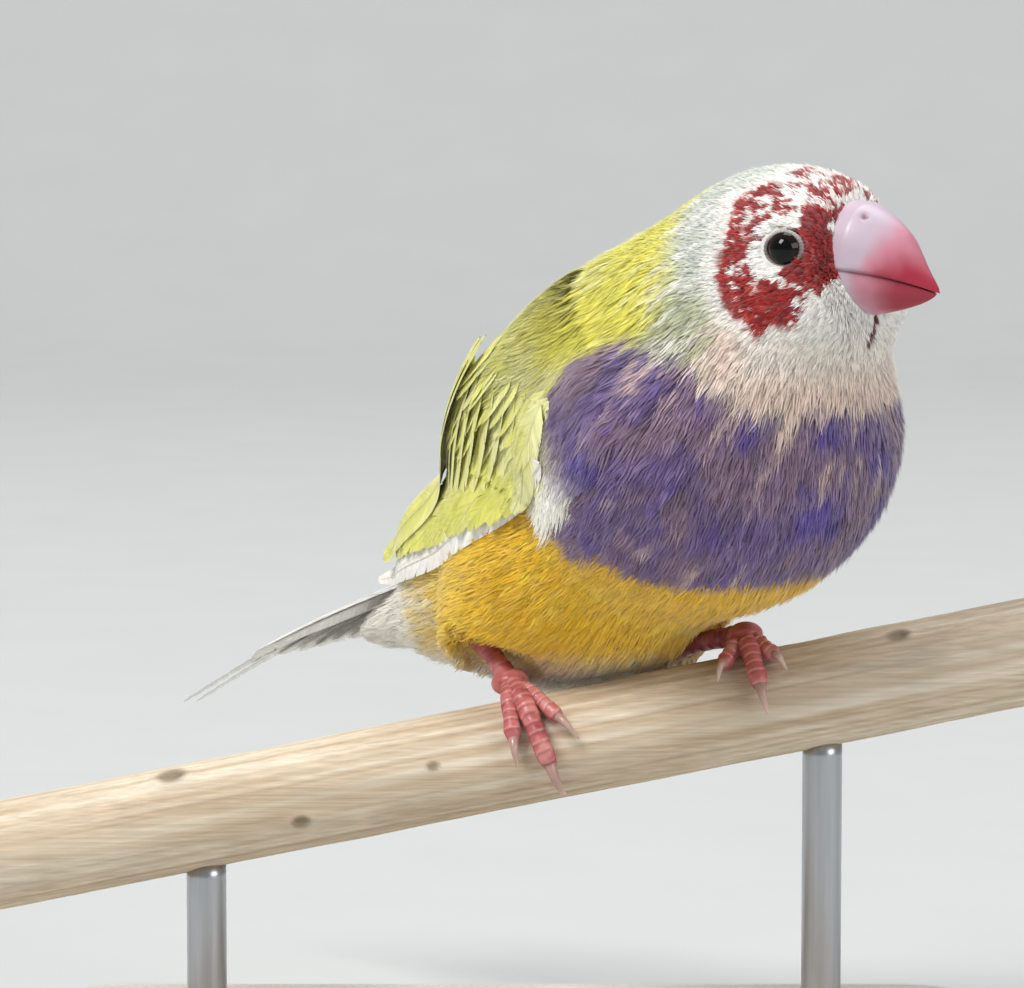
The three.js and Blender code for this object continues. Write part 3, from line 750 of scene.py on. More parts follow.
def relaxed(points, quads):
    """Points drawn half way to the middle of their neighbours."""
    total = np.zeros_like(points)
    count = np.zeros(len(points))
    for a in range(4):
        b = (a + 1) % 4
        np.add.at(total, quads[:, a], points[quads[:, b]])
        np.add.at(total, quads[:, b], points[quads[:, a]])
        np.add.at(count, quads[:, a], 1)
        np.add.at(count, quads[:, b], 1)
    return mix(points, total / count[:, None], 0.5)


# Coat of small feathers

def coat_uv(length, angle):
    """Place on an unwrap of the skin: round the line and along it."""
    around = 0.02 + 0.96 * (angle + math.pi) / (2 * math.pi)
    along = 0.02 + 0.96 * length / LINE_LENGTH[-1] * 0.9
    return np.stack([around, along], -1)


def sample_skin(points, quads, density_at, rng):
    """Random places on the skin with a density for each square millimetre."""
    triangles = np.vstack([quads[:, [0, 1, 2]], quads[:, [0, 2, 3]]])
    a, b, c = (points[triangles[:, k]] for k in range(3))
    area = np.linalg.norm(np.cross(b - a, c - a), axis=1) / 2
    wanted = area * density_at((a + b + c) / 3)
    count = np.floor(wanted + rng.random(len(wanted))).astype(int)
    index = np.repeat(np.arange(len(triangles)), count)
    s, t = rng.random((2, len(index)))
    flip = s + t > 1
    s = np.where(flip, 1 - s, s)[:, None]
    t = np.where(flip, 1 - t, t)[:, None]
    return a[index] + s * (b[index] - a[index]) + t * (c[index] - a[index])


# Each tuft and each of its barbs has this many lengths, and these widths at their ends
STEPS = 3
LEAF = np.array([0.3, 0.85, 1.0, 0.7])
BARB = np.array([0.6, 1.0, 0.8])


def flow(roots, lengths, rise, sway):
    """Middle line of each tuft: it leaves the root along the lay and stays by the body."""
    depth = skin_depth(roots)
    here = roots
    normals = normal_at(here)
    lines = [here]
    ups = [normals]
    ways = []
    for step in range(STEPS):
        way = lay_at(here, normals)
        way = unit(way + np.cross(normals, way) * sway[:, None])
        ways.append(way)
        here = here + way * (lengths / STEPS)[:, None]
        normals = normal_at(here)
        height = -depth * (1 - (step + 1) / STEPS) + rise * ((step + 1) / STEPS) ** 1.5
        here = here - normals * (plumage(here) - height)[:, None]
        lines.append(here)
        ups.append(normals)
    ways.append(ways[-1])
    return np.stack(lines, 1), np.stack(ups, 1), np.stack(ways, 1)


def barbs_of(tufts, count, rng):
    """Thin pointed barbs of each tuft, as arrays of points, faces, colours, normals and places."""
    lines, ups, ways, uv = (tufts[key] for key in ("lines", "ups", "ways", "uv"))
    total = len(lines)
    pick = np.arange(total)
    sides = np.cross(ups, ways)
    rows = []
    for spot in np.linspace(-1, 1, count):
        place = spot + rng.normal(0, 0.12, total)
        reach = np.clip(1 - 0.28 * np.abs(place) ** 1.6 - 0.2 * rng.random(total), 0.35, 1)
        lift = 0.05 * rng.normal(0, 1, total)
        shade = 1 + rng.normal(0, 0.07, total)
        for node in range(STEPS + 1):
            share = node / STEPS
            t = share * reach * STEPS
            low = np.minimum(t.astype(int), STEPS - 1)
            part = (t - low)[:, None]
            centre = mix(lines[pick, low], lines[pick, low + 1], part)
            up = unit(mix(ups[pick, low], ups[pick, low + 1], part))
            side = unit(mix(sides[pick, low], sides[pick, low + 1], part))
            across = tufts["widths"] * LEAF[node] * place
            centre = centre + side * across[:, None] + up * (lift * share - 0.1 * across * place)[:, None]
            normal = unit(up + side * (0.55 * place)[:, None])
            colour = mix(tufts["colours"], tufts["tips"], share ** 1.5)
            # darker towards the root and brighter towards the tip: painted shade where each barb's root lies
            # under other tufts, and painted light on its open tip
            colour = colour * (shade * mix(0.86, 1.06, share))[:, None]
            place_uv = uv + 0.0015 * np.stack([place, np.full(total, 2 * share - 1)], -1)
            if node == STEPS:
                rows.append((centre, colour, normal, place_uv))
                continue
            half = (tufts["breadth"] * BARB[node])[:, None]
            for sign in (-1, 1):
                edge_uv = place_uv + sign * np.array([0.0002, 0])
                rows.append((centre + sign * half * side, colour, normal, edge_uv))
    per_barb = 2 * STEPS + 1
    layout = np.arange(count * per_barb).reshape(count, per_barb)
    order = (pick[:, None, None] * count * per_barb + layout[None]).reshape(-1, per_barb)
    quads = np.concatenate([order[:, [2 * k, 2 * k + 1, 2 * k + 3, 2 * k + 2]] for k in range(STEPS - 1)])
    triangles = order[:, [2 * STEPS - 2, 2 * STEPS - 1, 2 * STEPS]]
    size = total * count * per_barb
    points, colours, normals, places = (
        np.stack([row[k] for row in rows], 1).reshape(size, -1) for k in range(4))
    return points, quads, triangles, np.clip(colours, 0, 1), places, normals


PIECE_TRIANGLES = 190000


def coat_pieces(name, tufts, count, rng):
    """Objects that hold the tufts, each under the limit of triangles."""
    per_tuft = count * (2 * (STEPS - 1) + 1)
    size = PIECE_TRIANGLES // per_tuft
    for number, start in enumerate(range(0, len(tufts["lines"]), size)):
        some = {key: values[start:start + size] for key, values in tufts.items()}
        points, *rest = barbs_of(some, count, rng)
        mesh = mesh_of(f"{name}_{number}", clear_of_perch(points, TUFT_GAP), *rest)
        dressed(mesh, FEATHER, "plumage_yellow")


# Tufts on each square millimetre
BODY_TUFTS = 5.2
HEAD_TUFTS = 15.0


def make_coat(points, quads):
    rng = np.random.default_rng(20)
    quick = 1.0

    def density(places):
        return quick * mix(BODY_TUFTS, HEAD_TUFTS, head_share(places, -9, -5))

    roots = sample_skin(points, quads, density, rng)
    roots = roots[has_tuft(roots)]
    _, length, angle = along_line(roots)
    head = head_share(roots, -10.5, -3.5)
    bare = np.clip(np.linalg.norm(roots - BILL_BASE, axis=1) / 9, 0.45, 1)
    lengths = mix(4.6, 1.5, head) * bare * mix(0.8, 1.2, rng.random(len(roots)))
    lengths *= 1 + 0.9 * smooth(-20, -34, roots[:, 0])
    lengths *= mix(0.45, 1, smooth(2.0, 5.0, shank_gap(roots)))
    widths = mix(0.75, 0.3, head) * mix(0.8, 1.2, rng.random(len(roots)))
    rise = mix(0.3, 0.12, head) * mix(-0.2, 1.6, rng.random(len(roots)) ** 2)
    sway = rng.normal(0, 1, len(roots)) * mix(0.13, 0.16, head)
    lines, ups, ways = flow(roots, lengths, rise, sway)
    colours = markings(lines[:, 2])
    tone = 1 + rng.normal(0, 0.09, (len(roots), 1))
    tips = mix(colours, np.ones(3), 0.1 * rng.random((len(roots), 1)) ** 2)
    tufts = {
        "lines": lines, "ups": ups, "ways": ways, "widths": widths, "colours": colours * tone,
        "tips": tips * tone, "breadth": mix(0.13, 0.075, head), "uv": coat_uv(length, angle),
    }
    coat_pieces("coat", tufts, 5, rng)


def shank_gap(points):
    """Distance to the nearer shank."""
    gaps = []
    for side, heel in HEELS.items():
        start = np.array(heel, float)
        along = perch_to_bird(foot_hub(side)[None])[0] - start
        share = np.clip((points - start) @ along / (along @ along), 0, 1)
        gaps.append(np.linalg.norm(points - start - share[:, None] * along, axis=1))
    return np.minimum(*gaps)


def has_tuft(roots):
    """Which places carry a tuft: none at the bill, eyes, perch or shanks, or past the vent."""
    local = to_head(roots)
    in_bill = (local[:, 0] > 5) & (bill_gap(local) < 0.93)
    eye_gap = np.minimum(*[np.linalg.norm(roots - EYES[side], axis=1) for side in EYES])
    perch = bird_to_perch(roots)
    on_perch = np.hypot(perch[:, 1], perch[:, 2]) < PERCH_RADIUS + 0.45
    past_vent = along_line(roots)[1] < 2.5
    return ~in_bill & (eye_gap > EYE_RADIUS + 0.42) & ~on_perch & ~past_vent & (shank_gap(roots) > 1.7)


# Feathers with a shaft and barbs

def sampled(table, t):
    """Rows of a table read between its rows at shares from 0 to 1."""
    table = np.asarray(table, float)
    place = np.clip(t, 0, 1) * (len(table) - 1)
    low = np.minimum(place.astype(int), len(table) - 2)
    part = place - low
    if table.ndim > 1:
        part = part[..., None]
    return mix(table[low], table[low + 1], part)


class Vane:
    """Shape of one feather: its middle line, the way up from it, and its half width from root to tip."""

    def __init__(self, centre, up, half, camber=0.03, tilt=0.0):
        self.centre = np.asarray(centre, float)
        self.half = np.asarray(half, float)
        self.ahead = unit(np.gradient(self.centre, axis=0))
        self.up = unit(up - self.ahead * dot(up, self.ahead))
        self.side = np.cross(self.ahead, self.up)
        self.length = np.linalg.norm(np.diff(self.centre, axis=0), axis=1).sum()
        self.camber = camber
        self.tilt = tilt

    def at(self, t, across, lift=0.0):
        """Point and normal at a share of the length and a distance to the side."""
        side = sampled(self.side, t)
        up = sampled(self.up, t)
        height = lift - self.camber * across ** 2 + self.tilt * across
        point = sampled(self.centre, t) + side * across[..., None] + up * height[..., None]
        normal = unit(up + side * (2 * self.camber * across - self.tilt)[..., None])
        return point, normal


CLUMP = 9
BARB_STOPS = (0.0, 0.4, 0.75, 1.0)


def feather_part(rows, quads):
    """Part of a feather from its rows of points, normals, colours and places."""
    part = {"quads": quads}
    for k, key in enumerate(("points", "normals", "colours", "uv")):
        values = np.stack([row[k] for row in rows], 1)
        part[key] = values.reshape(-1, values.shape[-1])
    return part


def vane_parts(vane, colour_at, cell, rng, gap=0.34, slant=1.3, parting=0.35):
    """Barbs on both sides of the shaft, parted here and there, and the shaft."""
    count = max(int(vane.length / gap), 8)
    number = np.arange(count)
    start = mix(0.0, 0.985, number / count)
    offset = rng.integers(0, CLUMP)
    clump = (number + offset) // CLUMP
    middle = (clump * CLUMP + CLUMP / 2 - offset) / count
    parts = []
    for sign in (-1, 1):
        pull = parting * (middle - start) * (rng.random(clump.max() + 1) ** 2)[clump]
        shade = 1 + rng.normal(0, 0.05, count)
        lean = rng.normal(0, 0.1, count)
        rows = []
        for stop in BARB_STOPS:
            reach = slant * stop * sampled(vane.half, start + 0.05) / vane.length
            t = np.clip(start + pull * stop ** 2 + reach, 0, 1)
            across = sign * stop * sampled(vane.half, t)
            wide = 0.72 * gap / vane.length * (1 - 0.55 * stop ** 3)
            for edge in (-1, 1):
                spot = np.clip(t + edge * wide, 0, 1)
                point, normal = vane.at(spot, across, 0.025 * edge * stop)
                normal = unit(normal + sampled(vane.ahead, spot) * lean[:, None])
                colour = colour_at(point, spot, across / max(vane.half.max(), 0.1)) * shade[:, None]
                uv = np.stack([0.5 + 0.45 * across / max(vane.half.max(), 0.1), 0.02 + 0.96 * spot], -1)
                rows.append((point, normal, colour, uv))
        base = np.arange(count)[:, None] * len(rows)
        rings = [np.array([2 * k, 2 * k + 1, 2 * k + 3, 2 * k + 2]) for k in range(len(BARB_STOPS) - 1)]
        parts.append(feather_part(rows, np.concatenate([base + ring for ring in rings])))
    parts.append(shaft_part(vane, colour_at))
    for part in parts:
        part["uv"] = np.array(cell[:2]) + part["uv"] * cell[2]
    return parts


PALE_SHAFT = srgb(226, 220, 176)


def shaft_part(vane, colour_at):
    """Raised ridge of the shaft along the middle of a feather."""
    count = 30
    t = np.linspace(0, 0.97, count)
    radius = mix(0.2, 0.04, t)
    rows = []
    for lean in (-1, 0, 1):
        point, normal = vane.at(t, lean * radius)
        rise = np.where(lean == 0, radius * 0.9, -0.03) + 0.04
        rows.append((
            point + sampled(vane.up, t) * np.broadcast_to(rise, t.shape)[:, None],
            unit(normal + sampled(vane.side, t) * lean * 0.9),
            mix(colour_at(point, t, lean * radius), PALE_SHAFT, 0.45),
            np.stack([0.5 + 0.02 * lean * np.ones(count), 0.02 + 0.96 * t], -1),
        ))
    return feather_part(rows, grid_faces(count, 3))


def piece_of(name, parts, slot, *nodes):
    """One object from the parts of many feathers."""
    offset = 0
    quads = []
    for part in parts:
        quads.append(part["quads"] + offset)
        offset += len(part["points"])
    points, colours, uv, normals = (
        np.concatenate([part[key] for part in parts]) for key in ("points", "colours", "uv", "normals"))
    mesh = mesh_of(name, points, np.concatenate(quads), None, np.clip(colours, 0, 1), uv, normals)
    dressed(mesh, VANE, slot, *nodes)


# Body wrap: places over the flank by how far back from the shoulder and how many degrees up

SPINE_POINTS = curve_points(SPINE, 600)
SPINE_LENGTH = travelled(SPINE_POINTS)
SPINE_AHEAD = unit(np.gradient(SPINE_POINTS, axis=0))
BACKS = np.arange(-8, 60, 1.0)
ANGLE_STEP = 3.0
ANGLES = np.arange(-60, 120, ANGLE_STEP)


def spine_at(back):
    """Point of the spine, its tangent, and the way up across it."""
    length = SHOULDER * SPINE_LENGTH[-1] - back
    inside = np.maximum(length, 0)
    point, way = (
        np.stack([np.interp(inside, SPINE_LENGTH, table[:, k]) for k in range(3)], -1)
        for table in (SPINE_POINTS, SPINE_AHEAD))
    ahead = unit(way)
    middle = point + ahead * (length - inside)[..., None]
    up = np.stack([-ahead[..., 2], np.zeros_like(back), ahead[..., 0]], -1)
    return middle, up


def out_of_spine(side, up, angle):
    """Direction out of the spine to one side, turned up by the angle."""
    flat = np.zeros_like(up)
    flat[..., 1] = side
    return flat * np.cos(angle)[..., None] + up * np.sin(angle)[..., None]


def reach_table(side):
    """How far the plumage is from the spine, by distance back and angle."""
    back, angle = (grid.ravel() for grid in np.meshgrid(BACKS, ANGLES, indexing="ij"))
    middle, up = spine_at(back)
    direction = out_of_spine(side, up, angle * RAD)
    near = np.zeros(len(back))
    alive = np.ones(len(back), bool)
    for _ in range(60):
        alive &= distance(middle + direction * (near + 1)[:, None], MASSES) < 0
        near += alive
    far = near + 1
    for _ in range(8):
        half = (near + far) / 2
        inside = distance(middle + direction * half[:, None], MASSES) < 0
        near = np.where(inside, half, near)
        far = np.where(inside, far, half)
    least = np.maximum(6, 11.5 - 0.13 * back)
    return np.maximum(near, least).reshape(len(BACKS), len(ANGLES))


REACHES = {side: reach_table(side) for side in (-1, 1)}


def over_body(side, back, angle, lift):
    """Points over the plumage: a distance back from the shoulder, degrees up from the flank, and a lift."""
    back, angle, lift = np.broadcast_arrays(np.asarray(back, float), angle, lift)
    table = REACHES[side]
    row = np.clip(back - BACKS[0], 0, len(BACKS) - 1.001)
    column = np.clip((angle - ANGLES[0]) / ANGLE_STEP, 0, len(ANGLES) - 1.001)
    i, j = row.astype(int), column.astype(int)
    s, t = row - i, column - j
    reach = mix(mix(table[i, j], table[i, j + 1], t), mix(table[i + 1, j], table[i + 1, j + 1], t), s)
    middle, up = spine_at(back)
    return middle + out_of_spine(side, up, angle * RAD) * (reach + lift)[..., None]


# Wings

def tier(count, root, tip, half, white=0.0):
    """Row of flight feathers, whose ends are given as distance back and degrees, first and last feather."""
    return {"count": count, "root": root, "tip": tip, "half": half, "white": white}


# Primaries, secondaries and tertials
FLIGHTS = [
    tier(7, ((5, 13), (-10, 14)), ((51.5, 43), (3, 16)), (1.7, 2.1), 1.0),
    tier(12, ((2, 17), (6, 48)), ((13, 44), (-13, 10)), (2.1, 2.5)),
    tier(5, ((11, 21), (46, 60)), ((49, 46), (17, 28)), (2.9, 3.1)),
]
COVERT_ROWS = [
    {"count": 12, "back": (5, 16), "angle": (0, 46), "length": 9, "fall": 11, "half": 2.0, "lift": 1.9},
    {"count": 12, "back": (1, 10), "angle": (4, 46), "length": 8, "fall": 9, "half": 1.9, "lift": 2.1},
]
WING_YELLOW = srgb(226, 223, 112)
WING_OLIVE = srgb(196, 198, 82)
WING_PALE = srgb(238, 235, 182)
WING_WHITE = srgb(246, 242, 236)


def wing_colour(points, t, across, rng_tone, white):
    """Colour of a wing feather at its points: olive-yellow webs, paler in front and white low down."""
    coarse = layered(points, 5.5, 53)
    fine = noise(np.stack([t * 3, across * 9, np.full_like(t, rng_tone * 50)], -1), 1.0, 59)
    olive = smooth(0.35, 0.75, 0.6 * fine + 0.4 * coarse)
    colour = over(tiled(WING_YELLOW, points), WING_OLIVE, olive)
    colour = over(colour, WING_PALE, smooth(0.5, 0.78, coarse) * 0.65)
    ahead = smooth(-3, 8, points[:, 0] + 2.5 * (coarse - 0.5)) * smooth(30, 22, points[:, 2])
    colour = over(colour, WING_PALE * 0.95, ahead * 0.7)
    colour = over(colour, WING_PALE, 0.6 * smooth(0.55, 0.95, np.abs(across)))
    return over(colour, WING_WHITE, np.broadcast_to(white, t.shape))


def flight_vane(side, root, tip, half, lifts, point=2.4, tilt=0.19, rows=36):
    t = np.linspace(0, 1, rows)
    back = mix(root[0], tip[0], t)
    angle = mix(root[1], tip[1], t)
    lift = mix(lifts[0], lifts[1], t)
    centre = over_body(side, back, angle, lift)
    up = over_body(side, back, angle, lift + 3) - centre
    taper = np.minimum(0.6 + 1.4 * t, 1) * np.maximum(1 - t ** (2 * point), 0) ** 0.6
    return Vane(centre, up, half * np.maximum(taper, 0.03), camber=0.035, tilt=tilt * side)


def wing_paint(tone, white):
    """Colour of one wing feather with its own tone and share of white."""
    def colour_at(points, t, across):
        return wing_colour(points, t, across, tone, np.full_like(t, white))

    return colour_at


def make_wing(side, name):
    rng = np.random.default_rng(31 + side)
    cells = iter([(0.1 * (k % 10), 0.1 * (k // 10), 0.098) for k in range(100)])
    parts = []
    for layer, one in enumerate(FLIGHTS):
        lifts = (0.7 + 0.65 * layer, 0.8 + 0.7 * layer)
        for i in range(one["count"]):
            share = i / (one["count"] - 1)
            root = [mix(*pair, share) for pair in one["root"]]
            tip = [mix(*pair, share) + rng.normal(0, 0.35) for pair in one["tip"]]
            vane = flight_vane(side, root, tip, mix(*one["half"], share), lifts, tilt=0.1)
            parts += vane_parts(vane, wing_paint(rng.random(), one["white"]), next(cells), rng)
    piece_of(f"wing_{name}_flights", parts, "plumage_yellow", f"wing_{name}")
    parts = []
    for row in COVERT_ROWS:
        for i in range(row["count"]):
            share = i / (row["count"] - 1)
            back = mix(*row["back"], share) + rng.normal(0, 0.4)
            angle = mix(*row["angle"], share) + rng.normal(0, 1.0)
            tip = (back + row["length"], angle - row["fall"])
            lifts = (row["lift"] - 1.4, row["lift"])
            vane = flight_vane(side, (back, angle), tip, row["half"], lifts, 1.5, 0.08)
            white = float(smooth(-8, -15, angle))
            parts += vane_parts(vane, wing_paint(rng.random(), white), next(cells), rng, 0.3)
    piece_of(f"wing_{name}_coverts", parts, "plumage_yellow")
    make_pad(side, name)
    make_wing_tufts(side, name, rng)


PAD_LENGTH = 26
PAD_THICK = 1.1


def pad_span(t):
    """Middle and half width of the folded arm, in degrees, at a share of its length."""
    return mix(16, 26, t), mix(21, 33, np.sin(math.pi * np.minimum(t * 1.3, 1) / 2))


def pad_lift(back, angle):
    """Thickness of the folded arm under the coverts, nothing at its edges."""
    t = np.clip(back / PAD_LENGTH, 0, 1)
    middle, half = pad_span(t)
    swell = np.clip(1 - ((angle - middle) / half) ** 4, 0, 1)
    return PAD_THICK * np.sin(math.pi * mix(0.04, 0.8, t)) * swell * smooth(-1, 3, back)


def make_pad(side, name):
    """Skin of the folded arm."""
    rows, columns = 44, 40
    t, c = np.meshgrid(np.linspace(0, 1, rows), np.linspace(-1, 1, columns), indexing="ij")
    back = PAD_LENGTH * t + 5 * c * c * (1 - t)
    middle, half = pad_span(t)
    angle = middle + half * c
    points = over_body(side, back, angle, -0.5 + 1.3 * pad_lift(back, angle)).reshape(-1, 3)
    colours = wing_colour(points, t.ravel(), c.ravel(), 0.4, np.zeros(t.size))
    inside = np.array([-5.0, 0, 15])
    mesh = mesh_of(f"wing_{name}_pad", points, grid_faces(rows, columns), colours=colours, inside=inside)
    dressed(mesh, SKIN, "plumage_yellow")


def make_wing_tufts(side, name, rng):
    """Small coverts over the front of the wing, which run into the coat of the back."""
    count = 3000
    back = mix(-3.5, 9, rng.random(count) ** 0.85)
    angle = mix(-22, 66, rng.random(count))
    length = mix(3.2, 5.4, rng.random(count)) * mix(0.8, 1.15, smooth(-2, 12, back))
    lift = pad_lift(back, angle) * 1.05
    turn = rng.normal(0, 1.6, count) - 0.9 * length
    end_lift = pad_lift(back + length, angle + turn) + 0.55 + 0.5 * lift
    lines = []
    ups = []
    for s in np.linspace(0, 1, STEPS + 1):
        here = (back + length * s, angle + turn * s)
        lines.append(over_body(side, *here, mix(lift - 0.35, end_lift, s)))
        ups.append(unit(over_body(side, *here, 4.0) - over_body(side, *here, 0.0)))
    lines = np.stack(lines, 1)
    roots = lines[:, 0]
    white = smooth(-9, -16, angle) * smooth(-2.5, 0, back) * 0.9
    wing = wing_colour(roots, rng.random(count), rng.random(count), 0.7, white)
    blend = smooth(-1.0, 5.0, back) * smooth(70, 46, angle)
    colours = mix(markings(roots), wing, blend[:, None])
    tone = 1 + rng.normal(0, 0.08, (count, 1))
    tips = mix(colours, np.ones(3), 0.12 * rng.random((count, 1)))
    uv = np.stack([0.02 + 0.9 * (angle + 30) / 110, 0.02 + 0.9 * (back + 4) / 20], -1)
    tufts = {
        "lines": lines, "ups": np.stack(ups, 1), "ways": unit(np.gradient(lines, axis=1)),
        "widths": 0.85 * mix(0.8, 1.2, rng.random(count)), "colours": colours * tone, "tips": tips * tone,
        "breadth": np.full(count, 0.12), "uv": uv,
    }
    coat_pieces(f"wing_{name}_tufts", tufts, 7, rng)


# Tail

TAIL_GREY = srgb(224, 220, 214)


def from_tail(points):
    return points @ turn_of(TAIL_PITCH, 0).T + np.array(TAIL_ROOT)


def tail_paint(tone, out):
    """Colour of one tail feather, whose place out from the middle is from 0 to 1."""
    def colour_at(points, t, across):
        grain = noise(np.stack([t * 4, across * 7, np.full_like(t, tone * 40)], -1), 1.0, 61)
        colour = over(tiled(WING_WHITE, points), TAIL_GREY, smooth(0.4, 0.9, grain) * 0.3)
        return over(colour, PALE_YELLOW, smooth(0.5, 0.0, t) * 0.25 * (1 - out))

    return colour_at


def make_tail():
    """Twelve tail feathers, of which the middle two are long pins."""
    rng = np.random.default_rng(47)
    parts = []
    for index in range(TAIL_FEATHERS):
        side = 1 if index % 2 else -1
        rank = index // 2
        out = rank / (TAIL_FEATHERS / 2 - 1)
        is_pin = rank == 0
        length = TAIL_PIN if is_pin else mix(43, 31, out)
        splay = mix(0.4, 7.5, out) * RAD * side
        half = mix(1.9, 2.7, out)
        level = 1 - 0.15 * rank - (0.06 if side > 0 else 0)
        share = np.linspace(0, 1, 40)
        along = mix(-7, length, share)
        drawn_out = mix(1, 0.22, np.clip((share - 0.35) / 0.6, 0, 1)) * np.clip((1 - share) * 30, 0.1, 1)
        taper = drawn_out if is_pin else np.maximum((1 - share ** 5), 0) ** 0.5
        wide = half * taper * mix(0.7, 1, np.minimum(share * 4, 1))
        offset = side * mix(0.5, 1.5, out) + math.tan(splay) * np.maximum(along, 0)
        height = level - 0.05 * np.abs(offset) ** 1.5 - 0.0012 * along ** 2 + rng.normal(0, 0.04)
        centre = from_tail(np.stack([-along, offset, height], -1))
        up = np.tile(turn_of(TAIL_PITCH, 0)[:, 2], (len(share), 1))
        vane = Vane(centre, up, np.maximum(wide, 0.05), camber=0.04)
        cell = (0.25 * (index % 4), 0.25 * (index // 4), 0.24)
        parts += vane_parts(vane, tail_paint(rng.random(), out), cell, rng, 0.36)
    piece_of("tail_feathers", parts, "plumage_white", "tail")


# Bill

BILL_LILAC = srgb(190, 172, 186)
BILL_PINK = srgb(196, 128, 144)
BILL_RED = srgb(160, 36, 60)
BILL_PAINTED_SHADE = srgb(112, 30, 44)


BILL_START = -2.6
BILL_GAP = 0.05


def bill_surface(is_upper, rows, columns):
    """One half of the bill: its points, and for each its share of the length and how far round it is."""
    share = np.linspace(0, 1, rows)[:, None] ** 0.85
    angle = full_turn(columns)[None]
    x = BILL_START + (BILL_LENGTH - BILL_START) * share
    along = np.clip(x, 0, None) / BILL_LENGTH
    fall = np.sqrt(np.maximum(1 - along ** 1.5, 0.0001))
    half = BILL_HALF_WIDTH * np.maximum(1 - along ** 1.25, 0.004)
    rise = np.sin(angle)
    flat = np.sign(np.cos(angle))
    across = half * flat * np.abs(np.cos(angle)) ** (0.9 + 0.6 * along)
    z = -BILL_DROOP * along ** 2
    hollow = 0.07 * np.minimum(rise, 0) * (1 - along)
    if is_upper:
        height = BILL_UPPER * fall * (1 - 0.25 * along) * (1 - 0.42 * smooth(0.5, 0.95, along))
        z = z + BILL_GAP + height * np.maximum(rise, 0) + hollow
        z = z - 0.12 * np.exp(-((rise / 0.2) ** 2)) * (1 - along)
        across = across + 0.16 * np.exp(-((rise / 0.16) ** 2)) * flat * (1 - along ** 4)
    else:
        x = x - 0.35 * along
        z = z - BILL_GAP - BILL_LOWER * fall ** 1.6 * np.maximum(rise, 0) - hollow
    local = np.stack(np.broadcast_arrays(BILL_FORWARD + x, across, z), -1).reshape(-1, 3)
    along, rise = (np.broadcast_to(values, (rows, columns)).ravel() for values in (along, rise))
    return local, along, rise


def bill_colour(local, along, rise, is_upper):
    """Lilac at the root to red at the tip, with a line of painted shade where the halves meet."""
    cloud = layered(local, 1.8, 71)
    if is_upper:
        redness = 0.98 * along + 0.42 * (1 - np.clip(rise, 0, 1)) * smooth(0.05, 0.45, along) - 0.05
    else:
        redness = 1.25 * along + 0.16 + 0.1 * np.clip(rise, 0, 1) * smooth(0.1, 0.4, along)
    redness = redness + 0.22 * (cloud - 0.5)
    colour = over(tiled(BILL_LILAC, local), BILL_PINK, smooth(0.22, 0.56, redness))
    colour = over(colour, BILL_RED, smooth(0.5, 0.95, redness))
    # painted shade in a thin line where the two halves meet
    edge = np.exp(-((rise / 0.07) ** 2)) * smooth(0.02, 0.2, along)
    return over(colour, BILL_PAINTED_SHADE, np.clip(edge, 0, 1) * 0.4)


def make_bill(is_upper):
    rows, columns = 70, 96
    local, along, rise = bill_surface(is_upper, rows, columns)
    colours = bill_colour(local, along, rise, is_upper)
    if is_upper:
        for side in (-1, 1):
            hole = np.array([BILL_FORWARD + 0.95, side * 2.35, BILL_UPPER * 0.82])
            gap = np.linalg.norm((local - hole) / np.array([1.25, 1, 0.8]), axis=1)
            dent = smooth(0.5, 0.15, gap)
            local = local - dent[:, None] * 0.25 * unit(local - np.array([BILL_FORWARD, 0, 1.5]))
            # painted shade in the nostrils
            colours = over(colours, BILL_PAINTED_SHADE, smooth(0.42, 0.2, gap) * 0.7)
    points = from_head(local)
    quads = grid_faces(rows, columns, closed=True)
    first = np.arange(columns)
    name = "upper" if is_upper else "lower"
    points = np.vstack([points, points[-columns:].mean(axis=0)])
    colours = np.vstack([colours, colours[-1]])
    last = (rows - 1) * columns + first
    after = (rows - 1) * columns + (first + 1) % columns
    cap = np.stack([last, after, np.full(columns, len(points) - 1)], -1)
    dressed(mesh_of(f"bill_{name}_horn", points, quads, cap, colours), HORN, "bill", f"bill_{name}")


# Eyes

EYE_PLACE = (3.1, 7.15, 1.5)
EYE_LOOK = (0.9, 3.0, 0.35)
SIDES = {"right": -1, "left": 1}
EYES = {name: from_head(np.array(EYE_PLACE) * (1, side, 1)) for name, side in SIDES.items()}
EYE_OUT = {
    name: unit(from_head((np.array(EYE_PLACE) + EYE_LOOK) * (1, side, 1)) - EYES[name])
    for name, side in SIDES.items()
}
LID_GREY = srgb(158, 150, 144)
LID_PAINTED_SHADE = srgb(84, 74, 70)
PUPIL = srgb(3, 3, 4)
IRIS = srgb(26, 13, 10)


def eye_frame(side):
    """Directions out of the eye, level across it and up it."""
    out = EYE_OUT[side]
    flat = unit(np.cross([0, 0, 1.0], out))
    return out, flat, np.cross(out, flat)


def make_eye(side):
    out, flat, up = eye_frame(side)
    rows, columns = 40, 64
    polar = np.linspace(0.001, math.pi, rows)[:, None]
    turn = full_turn(columns)[None]
    radius = EYE_RADIUS * (1 + 0.06 * np.exp(-((polar / 0.55) ** 2)))
    ring = np.sin(polar) * radius
    height = np.cos(polar) * radius
    local = np.stack(np.broadcast_arrays(height, ring * np.cos(turn), ring * np.sin(turn)), -1)
    points = EYES[side] + local.reshape(-1, 3) @ np.stack([out, flat, up])
    iris = np.repeat(smooth(0.5, 0.6, polar) * smooth(1.1, 0.95, polar), columns)
    colours = over(tiled(PUPIL, points), IRIS, iris)
    mesh = mesh_of(f"eye_{side}_ball", points, grid_faces(rows, columns, closed=True), colours=colours)
    dressed(mesh, EYE_GLASS, "eye", f"eye_{side}")


